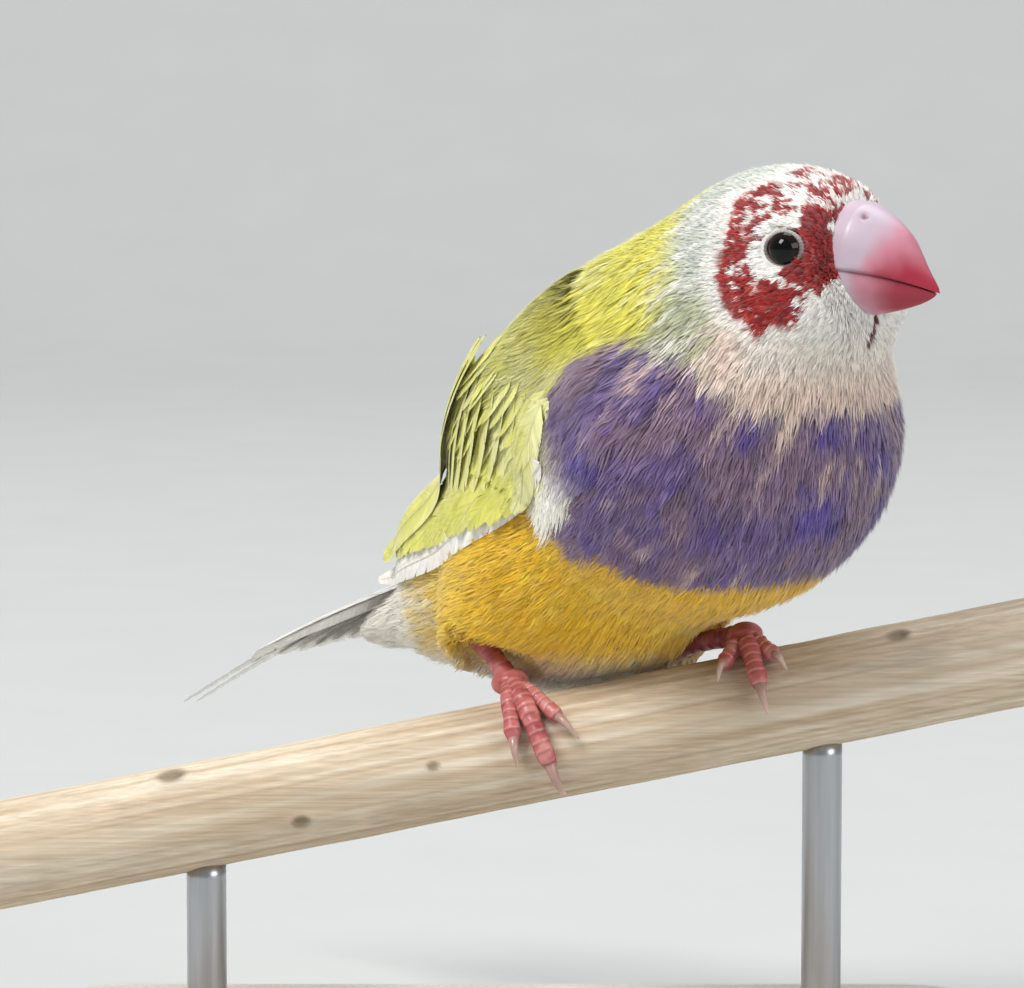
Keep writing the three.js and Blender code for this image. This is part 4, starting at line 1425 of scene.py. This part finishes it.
def make_lids(side):
    """Bare ring of the lids, a little pointed in front and behind, with its row of small beads, and painted
    shade on its inner rim and at its front and back corners.
    """
    out, flat, up = eye_frame(side)
    rows, columns = 132, 14
    around = full_turn(rows)[:, None]
    section = full_turn(columns)[None]
    thick = 0.2 * (1 + 0.16 * np.cos(33 * around) + 0.2 * np.abs(np.cos(around)) ** 4)
    radius = 1.72 + 0.1 * np.abs(np.cos(around)) ** 6 - 0.06 * np.abs(np.sin(around)) ** 3
    reach = radius + thick * np.cos(section)
    height = 1.0 + 0.8 * thick * np.sin(section) - 0.12 * np.cos(section)
    local = np.stack(np.broadcast_arrays(height, reach * np.cos(around), reach * np.sin(around)), -1)
    points = EYES[side] + local.reshape(-1, 3) @ np.stack([out, flat, up])
    # painted shade on the inner rim, where the lids meet the eye
    inner = np.tile(smooth(0.2, -0.7, np.cos(section[0])), rows)
    colours = over(tiled(LID_GREY, points), LID_PAINTED_SHADE, inner * 0.9)
    # painted shade in the front and back corners of the eye
    corner = np.repeat(smooth(0.75, 1, np.abs(np.cos(around))), columns)
    colours = over(colours, LID_PAINTED_SHADE, corner * 0.5)
    place = np.arange(rows * columns).reshape(rows, columns)
    ahead, beside = np.roll(place, -1, axis=0), np.roll(place, -1, axis=1)
    quads = np.stack([place, ahead, np.roll(beside, -1, axis=0), beside], -1).reshape(-1, 4)
    mesh = mesh_of(f"eye_{side}_lids", points, quads, colours=colours)
    dressed(mesh, SCALES, "plumage_face")


EYE_GLASS = marked_material("eye_glass", 0.06, spread=0.0, specular=0.25)


# Legs and feet, in the perch's frame: X along the perch, toes round it to -Y

# Place on the perch, and each toe's angles at its root and tip, drift along the perch, and half thickness
FEET = {
    "right": {
        "x": 1.0,
        "toes": [(98, -46, 3.4, 1.12), (92, -6, -0.8, 0.98), (90, 10, 5.8, 0.92), (84, 226, -0.8, 1.05)],
    },
    "left": {
        "x": 25,
        "toes": [(98, -2, 0.6, 1.1), (92, 38, -3.6, 0.95), (90, 36, 3.4, 0.98), (84, 222, 0.4, 1.05)],
    },
}
FOOT_PINK = srgb(186, 98, 98)
FOOT_PALE = srgb(216, 152, 144)
FOOT_DEEP = srgb(130, 48, 56)
CLAW = srgb(206, 178, 164)
CLAW_DARK = srgb(150, 106, 98)


def tube_points(path, radii, sides, relief, lift):
    """Rings round a path. The relief multiplies the radius by ring and by angle from the top."""
    ahead = unit(np.gradient(path, axis=0))
    up = unit(lift - ahead * dot(np.broadcast_to(lift, ahead.shape), ahead))
    side = np.cross(ahead, up)
    angle = full_turn(sides)[None]
    radius = radii[:, None] * relief
    high = up[:, None] * (radius * np.cos(angle))[..., None]
    wide = side[:, None] * (radius * np.sin(angle))[..., None]
    return (path[:, None] + high + wide).reshape(-1, 3)


def round_perch(x, angle, lift):
    """Points round the perch at a height over it."""
    radius = PERCH_RADIUS + lift
    return np.stack([x, -radius * np.cos(angle), radius * np.sin(angle)], -1)


def capped(points, rows, columns, colours):
    """Closed grid of rings with a point at each end."""
    quads = grid_faces(rows, columns, closed=True)
    ends = np.array([points[:columns].mean(axis=0), points[-columns:].mean(axis=0)])
    points = np.vstack([points, ends])
    colours = np.vstack([colours, colours[:1], colours[-1:]])
    j = np.arange(columns)
    k = (j + 1) % columns
    last = (rows - 1) * columns
    first_cap = np.stack([k, j, np.full(columns, len(points) - 2)], -1)
    last_cap = np.stack([last + j, last + k, np.full(columns, len(points) - 1)], -1)
    return points, quads, np.vstack([first_cap, last_cap]), colours


def skin_tone(points, seed):
    blotch = layered(points, 1.4, seed)
    colour = over(tiled(FOOT_PINK, points), FOOT_PALE, smooth(0.5, 0.8, blotch) * 0.7)
    return over(colour, FOOT_DEEP, smooth(0.45, 0.2, blotch) * 0.6)


def scutes(travel, columns, pitch, share_round):
    """Relief of overlapping plates along the top of a toe or the front of a shank."""
    angle = full_turn(columns)[None]
    step = (travel / pitch)[:, None] + 0.06 * np.cos(angle)
    saw = step - np.floor(step)
    top = smooth(math.cos(share_round), math.cos(share_round) + 0.35, np.cos(angle))
    pads = 0.06 * np.maximum(np.cos((travel / (pitch * 2.6))[:, None] * 2 * math.pi), 0) * (1 - top)
    return 1 + (0.15 * saw ** 2 - 0.04) * top + pads, saw * top


def painted_crease_shade(colours, ridge, depth):
    """Colours with painted shade in the creases between the plates."""
    dark = np.clip(1 - ridge * 3, 0, 1) * depth * (ridge > 0)
    return over(colours, FOOT_DEEP, dark)


CLAW_SIDES = 14
CLAW_FROM = 0.70


def toe_parts(foot, start, end, drift, thick, seed):
    """Scaled toe and its claw, as closed grids."""
    rows, columns = 88, 20
    t = np.linspace(0, 1, rows)
    claw = np.clip((t - 0.72) / 0.28, 0, 1)
    knuckle = 1 + 0.05 * np.cos(6 * math.pi * t)
    radius = thick * mix(1, 0.72, t) * knuckle * (1 - 0.3 * smooth(0.66, 0.76, t))
    lift = 0.42 + radius + 0.1 * np.sin(math.pi * claw)
    path = round_perch(foot["x"] + drift * t, mix(start, end, t) * RAD, lift)
    keep = t < 0.77
    away = unit(path * np.array([0, 1, 1]))
    relief, ridge = scutes(travelled(path)[keep], columns, 0.95, 1.35)
    ridge = ridge.ravel()
    rounded = radius[keep] * np.sqrt(np.clip((0.775 - t[keep]) / 0.03, 0.02, 1))
    points = tube_points(path[keep], rounded, columns, relief, away[keep])
    # painted shade in the creases between the toe's plates
    colours = painted_crease_shade(skin_tone(points, seed), ridge, 0.5)
    # painted highlight along the raised edge of each plate
    colours = over(colours, FOOT_PALE, smooth(0.72, 0.95, ridge) * 0.7)
    toe = capped(points, keep.sum(), columns, colours)
    rows = 34
    t = np.linspace(CLAW_FROM, 1.0, rows)
    claw = (t - CLAW_FROM) / 0.30
    radius = 0.5 * thick * (1 - claw ** 1.4) + 0.05
    lift = 0.3 + mix(0.75 * thick, 0.5, claw) + 0.9 * np.sin(math.pi * np.minimum(claw * 1.1, 1))
    path = round_perch(foot["x"] + drift * t, mix(start, end, t) * RAD, lift)
    away = unit(path * np.array([0, 1, 1]))
    ridged = 1 + 0.12 * np.cos(full_turn(CLAW_SIDES))[None]
    points = tube_points(path, radius, CLAW_SIDES, ridged, away)
    shade = np.repeat(claw, CLAW_SIDES)
    colours = over(tiled(CLAW, points), CLAW_DARK, smooth(0.9, 0.2, shade) * 0.6)
    return toe, capped(points, rows, CLAW_SIDES, colours)


def foot_hub(side):
    """Middle of the foot, where the toes meet on the perch."""
    return round_perch(np.array(FEET[side]["x"]), np.array(94 * RAD), 1.65)


SHANK_SIDES = 28
BALL_RADIUS = 1.9
BALL_HEIGHT = 1.35


def foot_parts(side):
    """Shank, ball of the foot and toes, and the claws, as closed grids in the perch's frame."""
    foot = FEET[side]
    heel = bird_to_perch(np.array([HEELS[side]], float))[0]
    hub = foot_hub(side)
    inside = heel + unit(heel - hub) * 2.5
    middle = mix(heel, hub, 0.5) + np.array([0, 0, 0.2])
    path = curve_points([inside, heel, middle, hub], 90)
    share = np.linspace(0, 1, len(path))
    radii = np.interp(share, [0, 0.3, 0.62, 0.93, 1], [1.25, 1.2, 0.95, 1.12, 0.9])
    relief, ridge = scutes(travelled(path), SHANK_SIDES, 1.25, 1.6)
    points = tube_points(path, radii, SHANK_SIDES, relief, np.array([0, -1.0, 0.4]))
    # painted shade in the creases between the shank's plates
    colours = painted_crease_shade(skin_tone(points, 83), ridge.ravel(), 0.4)
    skins = [capped(points, len(path), SHANK_SIDES, colours)]
    rows, columns = 24, 32
    polar = np.linspace(0.02, math.pi - 0.02, rows)[:, None]
    turn = full_turn(columns)[None]
    ring = np.sin(polar) * (1 + 0.05 * np.cos(5 * turn) * np.sin(polar))
    ball = np.stack(np.broadcast_arrays(np.cos(polar), ring * np.cos(turn), ring * np.sin(turn)), -1)
    ball = ball * (BALL_RADIUS, BALL_RADIUS, BALL_HEIGHT)
    points = ball.reshape(-1, 3) + hub
    skins.append(capped(points, rows, columns, skin_tone(points, 89)))
    claws = []
    for number, plan in enumerate(foot["toes"]):
        toe, claw = toe_parts(foot, *plan, 91 + number)
        skins.append(toe)
        claws.append(claw)
    return skins, claws


def joined_mesh(name, parts, to_world):
    points, quads, triangles, colours = [], [], [], []
    offset = 0
    for part_points, part_quads, part_triangles, part_colours in parts:
        quads.append(part_quads + offset)
        triangles.append(part_triangles + offset)
        points.append(part_points)
        colours.append(part_colours)
        offset += len(part_points)
    return mesh_of(name, np.concatenate(points), np.concatenate(quads), np.concatenate(triangles),
                   np.clip(np.concatenate(colours), 0, 1), to_world=to_world)


def make_leg(side):
    skins, claws = foot_parts(side)
    skin_mesh = joined_mesh(f"leg_{side}_skin", skins, perch_to_world)
    dressed(skin_mesh, SCALES, "foot_skin", f"leg_{side}")
    dressed(joined_mesh(f"leg_{side}_claws", claws, perch_to_world), CLAW_HORN, "foot_skin")


CLAW_HORN = marked_material("claw_horn", 0.28, spread=0.1, fine=1200.0, coat=0.2, subsurface=0.2)


# Perch and stand

WOOD = srgb(208, 191, 168)
WOOD_DARK = srgb(184, 162, 134)
WOOD_LIGHT = srgb(226, 217, 200)
WOOD_SHADE = (0.8, 0.77, 0.73)
WOOD_SHINE = (1.06, 1.05, 1.03)
# Place along the perch, degrees round it, and size
KNOTS = [(-34, 62, 1.1), (-8, 12, 0.5), (40, 58, 0.9), (-22, -20, 0.7), (30, 150, 1.4), (-44, 120, 1.0)]


def wood_material():
    """Markings with long fine grain over them."""
    material = marked_material("perch_wood", 0.68, spread=0.1, fine=260.0, specular=0.3)
    tree = material.node_tree
    shader = tree.nodes["Principled BSDF"]
    grain = noise_node(tree, 90.0, 6.0, (0.25, 15.0, 15.0))
    fine = noise_node(tree, 600.0, 4.0, (0.12, 6.0, 6.0))
    mixed = add(tree, "ShaderNodeMath", operation="ADD")
    tree.links.new(grain.outputs["Fac"], mixed.inputs[0])
    tree.links.new(fine.outputs["Fac"], mixed.inputs[1])
    half = add(tree, "ShaderNodeMath", operation="MULTIPLY")
    half.inputs[1].default_value = 0.5
    tree.links.new(mixed.outputs[0], half.inputs[0])
    ramp = ramp_node(tree, half.outputs[0], WOOD_SHADE, WOOD_SHINE, (0.36, 0.62))
    tint = multiplied(tree, shader.inputs["Base Color"].links[0].from_socket, ramp)
    tree.links.new(tint, shader.inputs["Base Color"])
    bump(tree, shader, half.outputs[0], 0.5, 0.00025)
    return material


def make_perch():
    """Wooden perch with eased ends, long grain and a few knots."""
    rows, columns = 340, 132
    half = PERCH_LENGTH / 2
    bevel = 0.6
    turn_in = np.array([0.0, 0.35, 0.7, 1.0]) * math.pi / 2
    inward = bevel * (1 - np.cos(turn_in))
    down = bevel * (1 - np.sin(turn_in))
    inner = np.linspace(-half + bevel, half - bevel, rows - 8)
    x = np.concatenate([-half + inward, inner, (half - inward)[::-1]])
    edge = np.concatenate([down, np.zeros(rows - 8), down[::-1]])
    x, angle = np.meshgrid(x, full_turn(columns), indexing="ij")
    edge = np.repeat(edge[:, None], columns, 1)
    round_place = np.stack([x / 16, 2.0 * np.cos(angle), 2.0 * np.sin(angle)], -1)
    swell = 0.22 * (layered(round_place, 1.0, 101) - 0.5) + 0.1 * (layered(round_place * 3, 1.0, 103) - 0.5)
    long_grain = layered(np.stack([x / 30, 11 * np.cos(angle), 11 * np.sin(angle)], -1), 1.0, 107)
    radius = PERCH_RADIUS - 0.08 + swell - edge + 0.07 * (long_grain - 0.5)
    knot_share = np.zeros_like(x)
    for place, degrees, size in KNOTS:
        turned = (angle - degrees * RAD + math.pi) % (2 * math.pi) - math.pi
        gap = np.hypot((x - place) / (1.4 * size), turned * PERCH_RADIUS / size)
        radius = radius + 0.14 * size * np.exp(-((gap - 1) / 0.45) ** 2) - 0.16 * size * smooth(0.8, 0.2, gap)
        knot_share = np.maximum(knot_share, smooth(1.3, 0.6, gap))
    points = np.stack([x, -radius * np.cos(angle), radius * np.sin(angle)], -1).reshape(-1, 3)
    long_grain = long_grain.ravel()
    colour = over(tiled(WOOD, points), WOOD_LIGHT, smooth(0.45, 0.75, long_grain) * 0.8)
    colour = over(colour, WOOD_DARK, smooth(0.45, 0.2, long_grain) * 0.7)
    broad = layered(np.stack([x / 22, np.cos(angle), np.sin(angle)], -1), 1.0, 109).ravel()
    colour = over(colour, WOOD_DARK, smooth(0.5, 0.8, broad) * 0.35)
    colour = over(colour, WOOD_DARK * 0.42, knot_share.ravel() * 0.8)
    points, quads, caps, colours = capped(points, rows, columns, colour)
    mesh = mesh_of("perch_wood_grain", points, quads, caps, colours, to_world=perch_to_world)
    dressed(mesh, wood_material(), "perch_wood", "perch")


ROD_RADIUS = 2
ROD_OFFSET = 31
BASE_LENGTH = 100
BASE_DEPTH = 64
BASE_HEIGHT = 6
BASE_CORNER = 9
BASE_BEVEL = 0.8
CLEAR = 0.3
STEEL = srgb(190, 192, 196)
STONE = srgb(206, 200, 190)
STONE_DARK = srgb(176, 168, 156)


def same(points):
    """Points that are in the world's frame already."""
    return points


def steel_material():
    material, tree, shader = node_material("rod_steel", 0.32, metallic=1.0)
    brushed = noise_node(tree, 500.0, 3.0, (4.0, 4.0, 0.15))
    ramp = ramp_node(tree, brushed.outputs["Fac"], STEEL * 0.72, STEEL)
    tree.links.new(ramp, shader.inputs["Base Color"])
    bump(tree, shader, brushed.outputs["Fac"], 0.15, 0.00005)
    return material


def make_rod(side, name, material):
    """Steel rod from the base up to the perch, with its foot's edge rounded."""
    x = side * ROD_OFFSET
    columns = 48
    top = PERCH_HEIGHT + x * math.tan(PERCH_SLOPE) - PERCH_RADIUS / math.cos(PERCH_SLOPE) + 0.25
    foot = BASE_HEIGHT + CLEAR
    heights = np.array([foot, foot + 0.1, foot + 0.3, top - 1, top])
    radii = ROD_RADIUS - np.array([0.3, 0.1, 0, 0, 0])
    angle = full_turn(columns)
    rings = np.stack([
        np.stack([x + radius * np.cos(angle), radius * np.sin(angle), np.full(columns, height)], -1)
        for height, radius in zip(heights, radii)])
    # the last ring follows the perch's underside, which slopes and is round
    last = rings[-1]
    across = PERCH_RADIUS - np.sqrt(PERCH_RADIUS ** 2 - last[:, 1] ** 2)
    last[:, 2] = top + (last[:, 0] - x) * math.tan(PERCH_SLOPE) + across
    points = rings.reshape(-1, 3)
    points, quads, caps, colours = capped(points, len(heights), columns, tiled(STEEL, points))
    mesh = mesh_of(f"rod_{name}_steel", points, quads, caps, colours, to_world=same)
    dressed(mesh, material, "stand_rod", f"stand_rod_{name}")


def make_base():
    """Flat base with round corners and a softened top edge."""
    steps = 18
    corner = np.linspace(0, math.pi / 2, steps)
    rings = []
    turn_in = np.linspace(0, math.pi / 2, 7)
    profile = [(0.25, 0.0), (0.0, 0.25)]
    for a in turn_in:
        profile.append((BASE_BEVEL * (1 - math.cos(a)), BASE_HEIGHT - BASE_BEVEL * (1 - math.sin(a))))
    for inset, height in profile:
        radius = BASE_CORNER - inset
        outline = []
        for quarter in range(4):
            sx = 1 if quarter in (0, 3) else -1
            sy = 1 if quarter in (0, 1) else -1
            angle = corner + quarter * math.pi / 2
            outline.append(np.stack([
                sx * (BASE_LENGTH / 2 - BASE_CORNER) + radius * np.cos(angle),
                sy * (BASE_DEPTH / 2 - BASE_CORNER) + radius * np.sin(angle),
                np.full(steps, height)], -1))
        rings.append(np.concatenate(outline))
    columns = 4 * steps
    points = np.concatenate(rings)
    points, quads, caps, colours = capped(points, len(profile), columns, tiled(STONE, points))
    mesh = mesh_of("base_slab", points, quads, caps, colours, to_world=same)
    material = marked_material("base_stone", 0.42, spread=0.05, fine=1500.0, coat=0.1)
    tree = material.node_tree
    shader = tree.nodes["Principled BSDF"]
    speck = noise_node(tree, 2600.0, 2.0)
    cloud = noise_node(tree, 45.0, 5.0)
    both = add(tree, "ShaderNodeMix", data_type="FLOAT")
    both.inputs["Factor"].default_value = 0.55
    tree.links.new(speck.outputs["Fac"], both.inputs["A"])
    tree.links.new(cloud.outputs["Fac"], both.inputs["B"])
    ramp = ramp_node(tree, both.outputs["Result"], STONE_DARK, STONE, (0.36, 0.62))
    tree.links.new(ramp, shader.inputs["Base Color"])
    mesh.shade_flat()
    dressed(mesh, material, "stand_base", "stand_base")


# Floor, backdrop, light and camera

PAPER = (0.56, 0.571, 0.565)
PAPER_DARK = (0.52, 0.535, 0.527)


def make_stage():
    """Pale floor that curves up into the backdrop."""
    columns = 24
    rise = 0.5
    angle = np.linspace(0, math.pi / 2, 16)
    profile = [(-1.6, 0.0), (0.3, 0.0)]
    profile += [(0.9 + rise * math.sin(a), rise * (1 - math.cos(a))) for a in angle]
    profile += [(0.9 + rise, 2.6)]
    across = np.linspace(-2.2, 2.2, columns)
    points = np.array([[x, y, z] for y, z in profile for x in across]) / MM
    quads = grid_faces(len(profile), columns)
    mesh = mesh_of("studio_floor", points, quads, to_world=same, inside=np.array([0, 0, -4000.0]))
    material, tree, shader = node_material("studio_paper", 0.85)
    paper = noise_node(tree, 40.0, 3.0)
    ramp = ramp_node(tree, paper.outputs["Fac"], PAPER_DARK, PAPER)
    tree.links.new(ramp, shader.inputs["Base Color"])
    floor = link("studio_floor", mesh, material, None)


def area_light(name, at, aim, size, power, colour):
    data = bpy.data.lights.new(name, "AREA")
    data.shape = "RECTANGLE"
    data.size = size[0]
    data.size_y = size[1]
    data.energy = power
    data.color = colour
    light = bpy.data.objects.new(name, data)
    light.location = at
    way = np.array(aim, float) - np.array(at, float)
    light.rotation_euler = look_angles(way)
    bpy.context.scene.collection.objects.link(light)


def look_angles(way):
    """Euler angles that turn a camera's or light's -Z along the way, with its +Y up."""
    flat = math.hypot(way[0], way[1])
    return (math.pi / 2 + math.atan2(way[2], flat), 0, math.atan2(way[1], way[0]) - math.pi / 2)


CAMERA_AIM = (-0.0002, 0, 0.0622)
CAMERA_FAR = 0.5
CAMERA_RISE = 6 * RAD
FOCAL_PIXELS = 5000
PHOTO_WIDTH = 1024
SENSOR = 36


def make_camera():
    data = bpy.data.cameras.new("photo_camera")
    data.sensor_fit = "HORIZONTAL"
    data.sensor_width = SENSOR
    data.lens = SENSOR * FOCAL_PIXELS / PHOTO_WIDTH
    data.clip_start = 0.01
    data.clip_end = 20
    camera = bpy.data.objects.new("photo_camera", data)
    aim = np.array(CAMERA_AIM)
    way = np.array([0, math.cos(CAMERA_RISE), -math.sin(CAMERA_RISE)])
    camera.location = aim - way * CAMERA_FAR
    camera.rotation_euler = look_angles(way)
    bpy.context.scene.collection.objects.link(camera)
    bpy.context.scene.camera = camera


def make_light():
    world = bpy.data.worlds.new("studio")
    world.use_nodes = True
    sky = world.node_tree.nodes["Background"]
    sky.inputs["Color"].default_value = (0.93, 0.96, 1.0, 1)
    sky.inputs["Strength"].default_value = 0.36
    bpy.context.scene.world = world
    centre = (0, 0, 0.07)
    area_light("key", (-0.76, -0.63, 1.3), centre, (0.6, 0.6), 21, (1.0, 0.985, 0.96))
    area_light("fill", (1.26, -1.08, 0.7), centre, (1.0, 0.8), 10, (0.95, 0.97, 1.0))
    area_light("top", (0.18, 0.45, 1.4), centre, (0.8, 0.8), 10, (1.0, 1.0, 1.0))
    bpy.context.scene.view_settings.view_transform = "Standard"


# Assembly

make_camera()
make_light()
make_stage()
skin_points, skin_quads = make_skin()
skin_colours = markings(skin_points)
# the skin is painted at 0.82 of the markings: painted shade where it lies under the coat
skin_mesh = mesh_of("skin", skin_points, skin_quads, colours=skin_colours * 0.82)
dressed(skin_mesh, SKIN, "plumage_yellow", "torso", "neck", "head", "thigh_left", "thigh_right")
make_coat(skin_points, skin_quads)
for side_name in ("left", "right"):
    make_wing(SIDES[side_name], side_name)
    make_eye(side_name)
    make_lids(side_name)
    make_leg(side_name)
make_tail()
make_bill(True)
make_bill(False)
make_perch()
steel = steel_material()
make_rod(-1, "left", steel)
make_rod(1, "right", steel)
make_base()
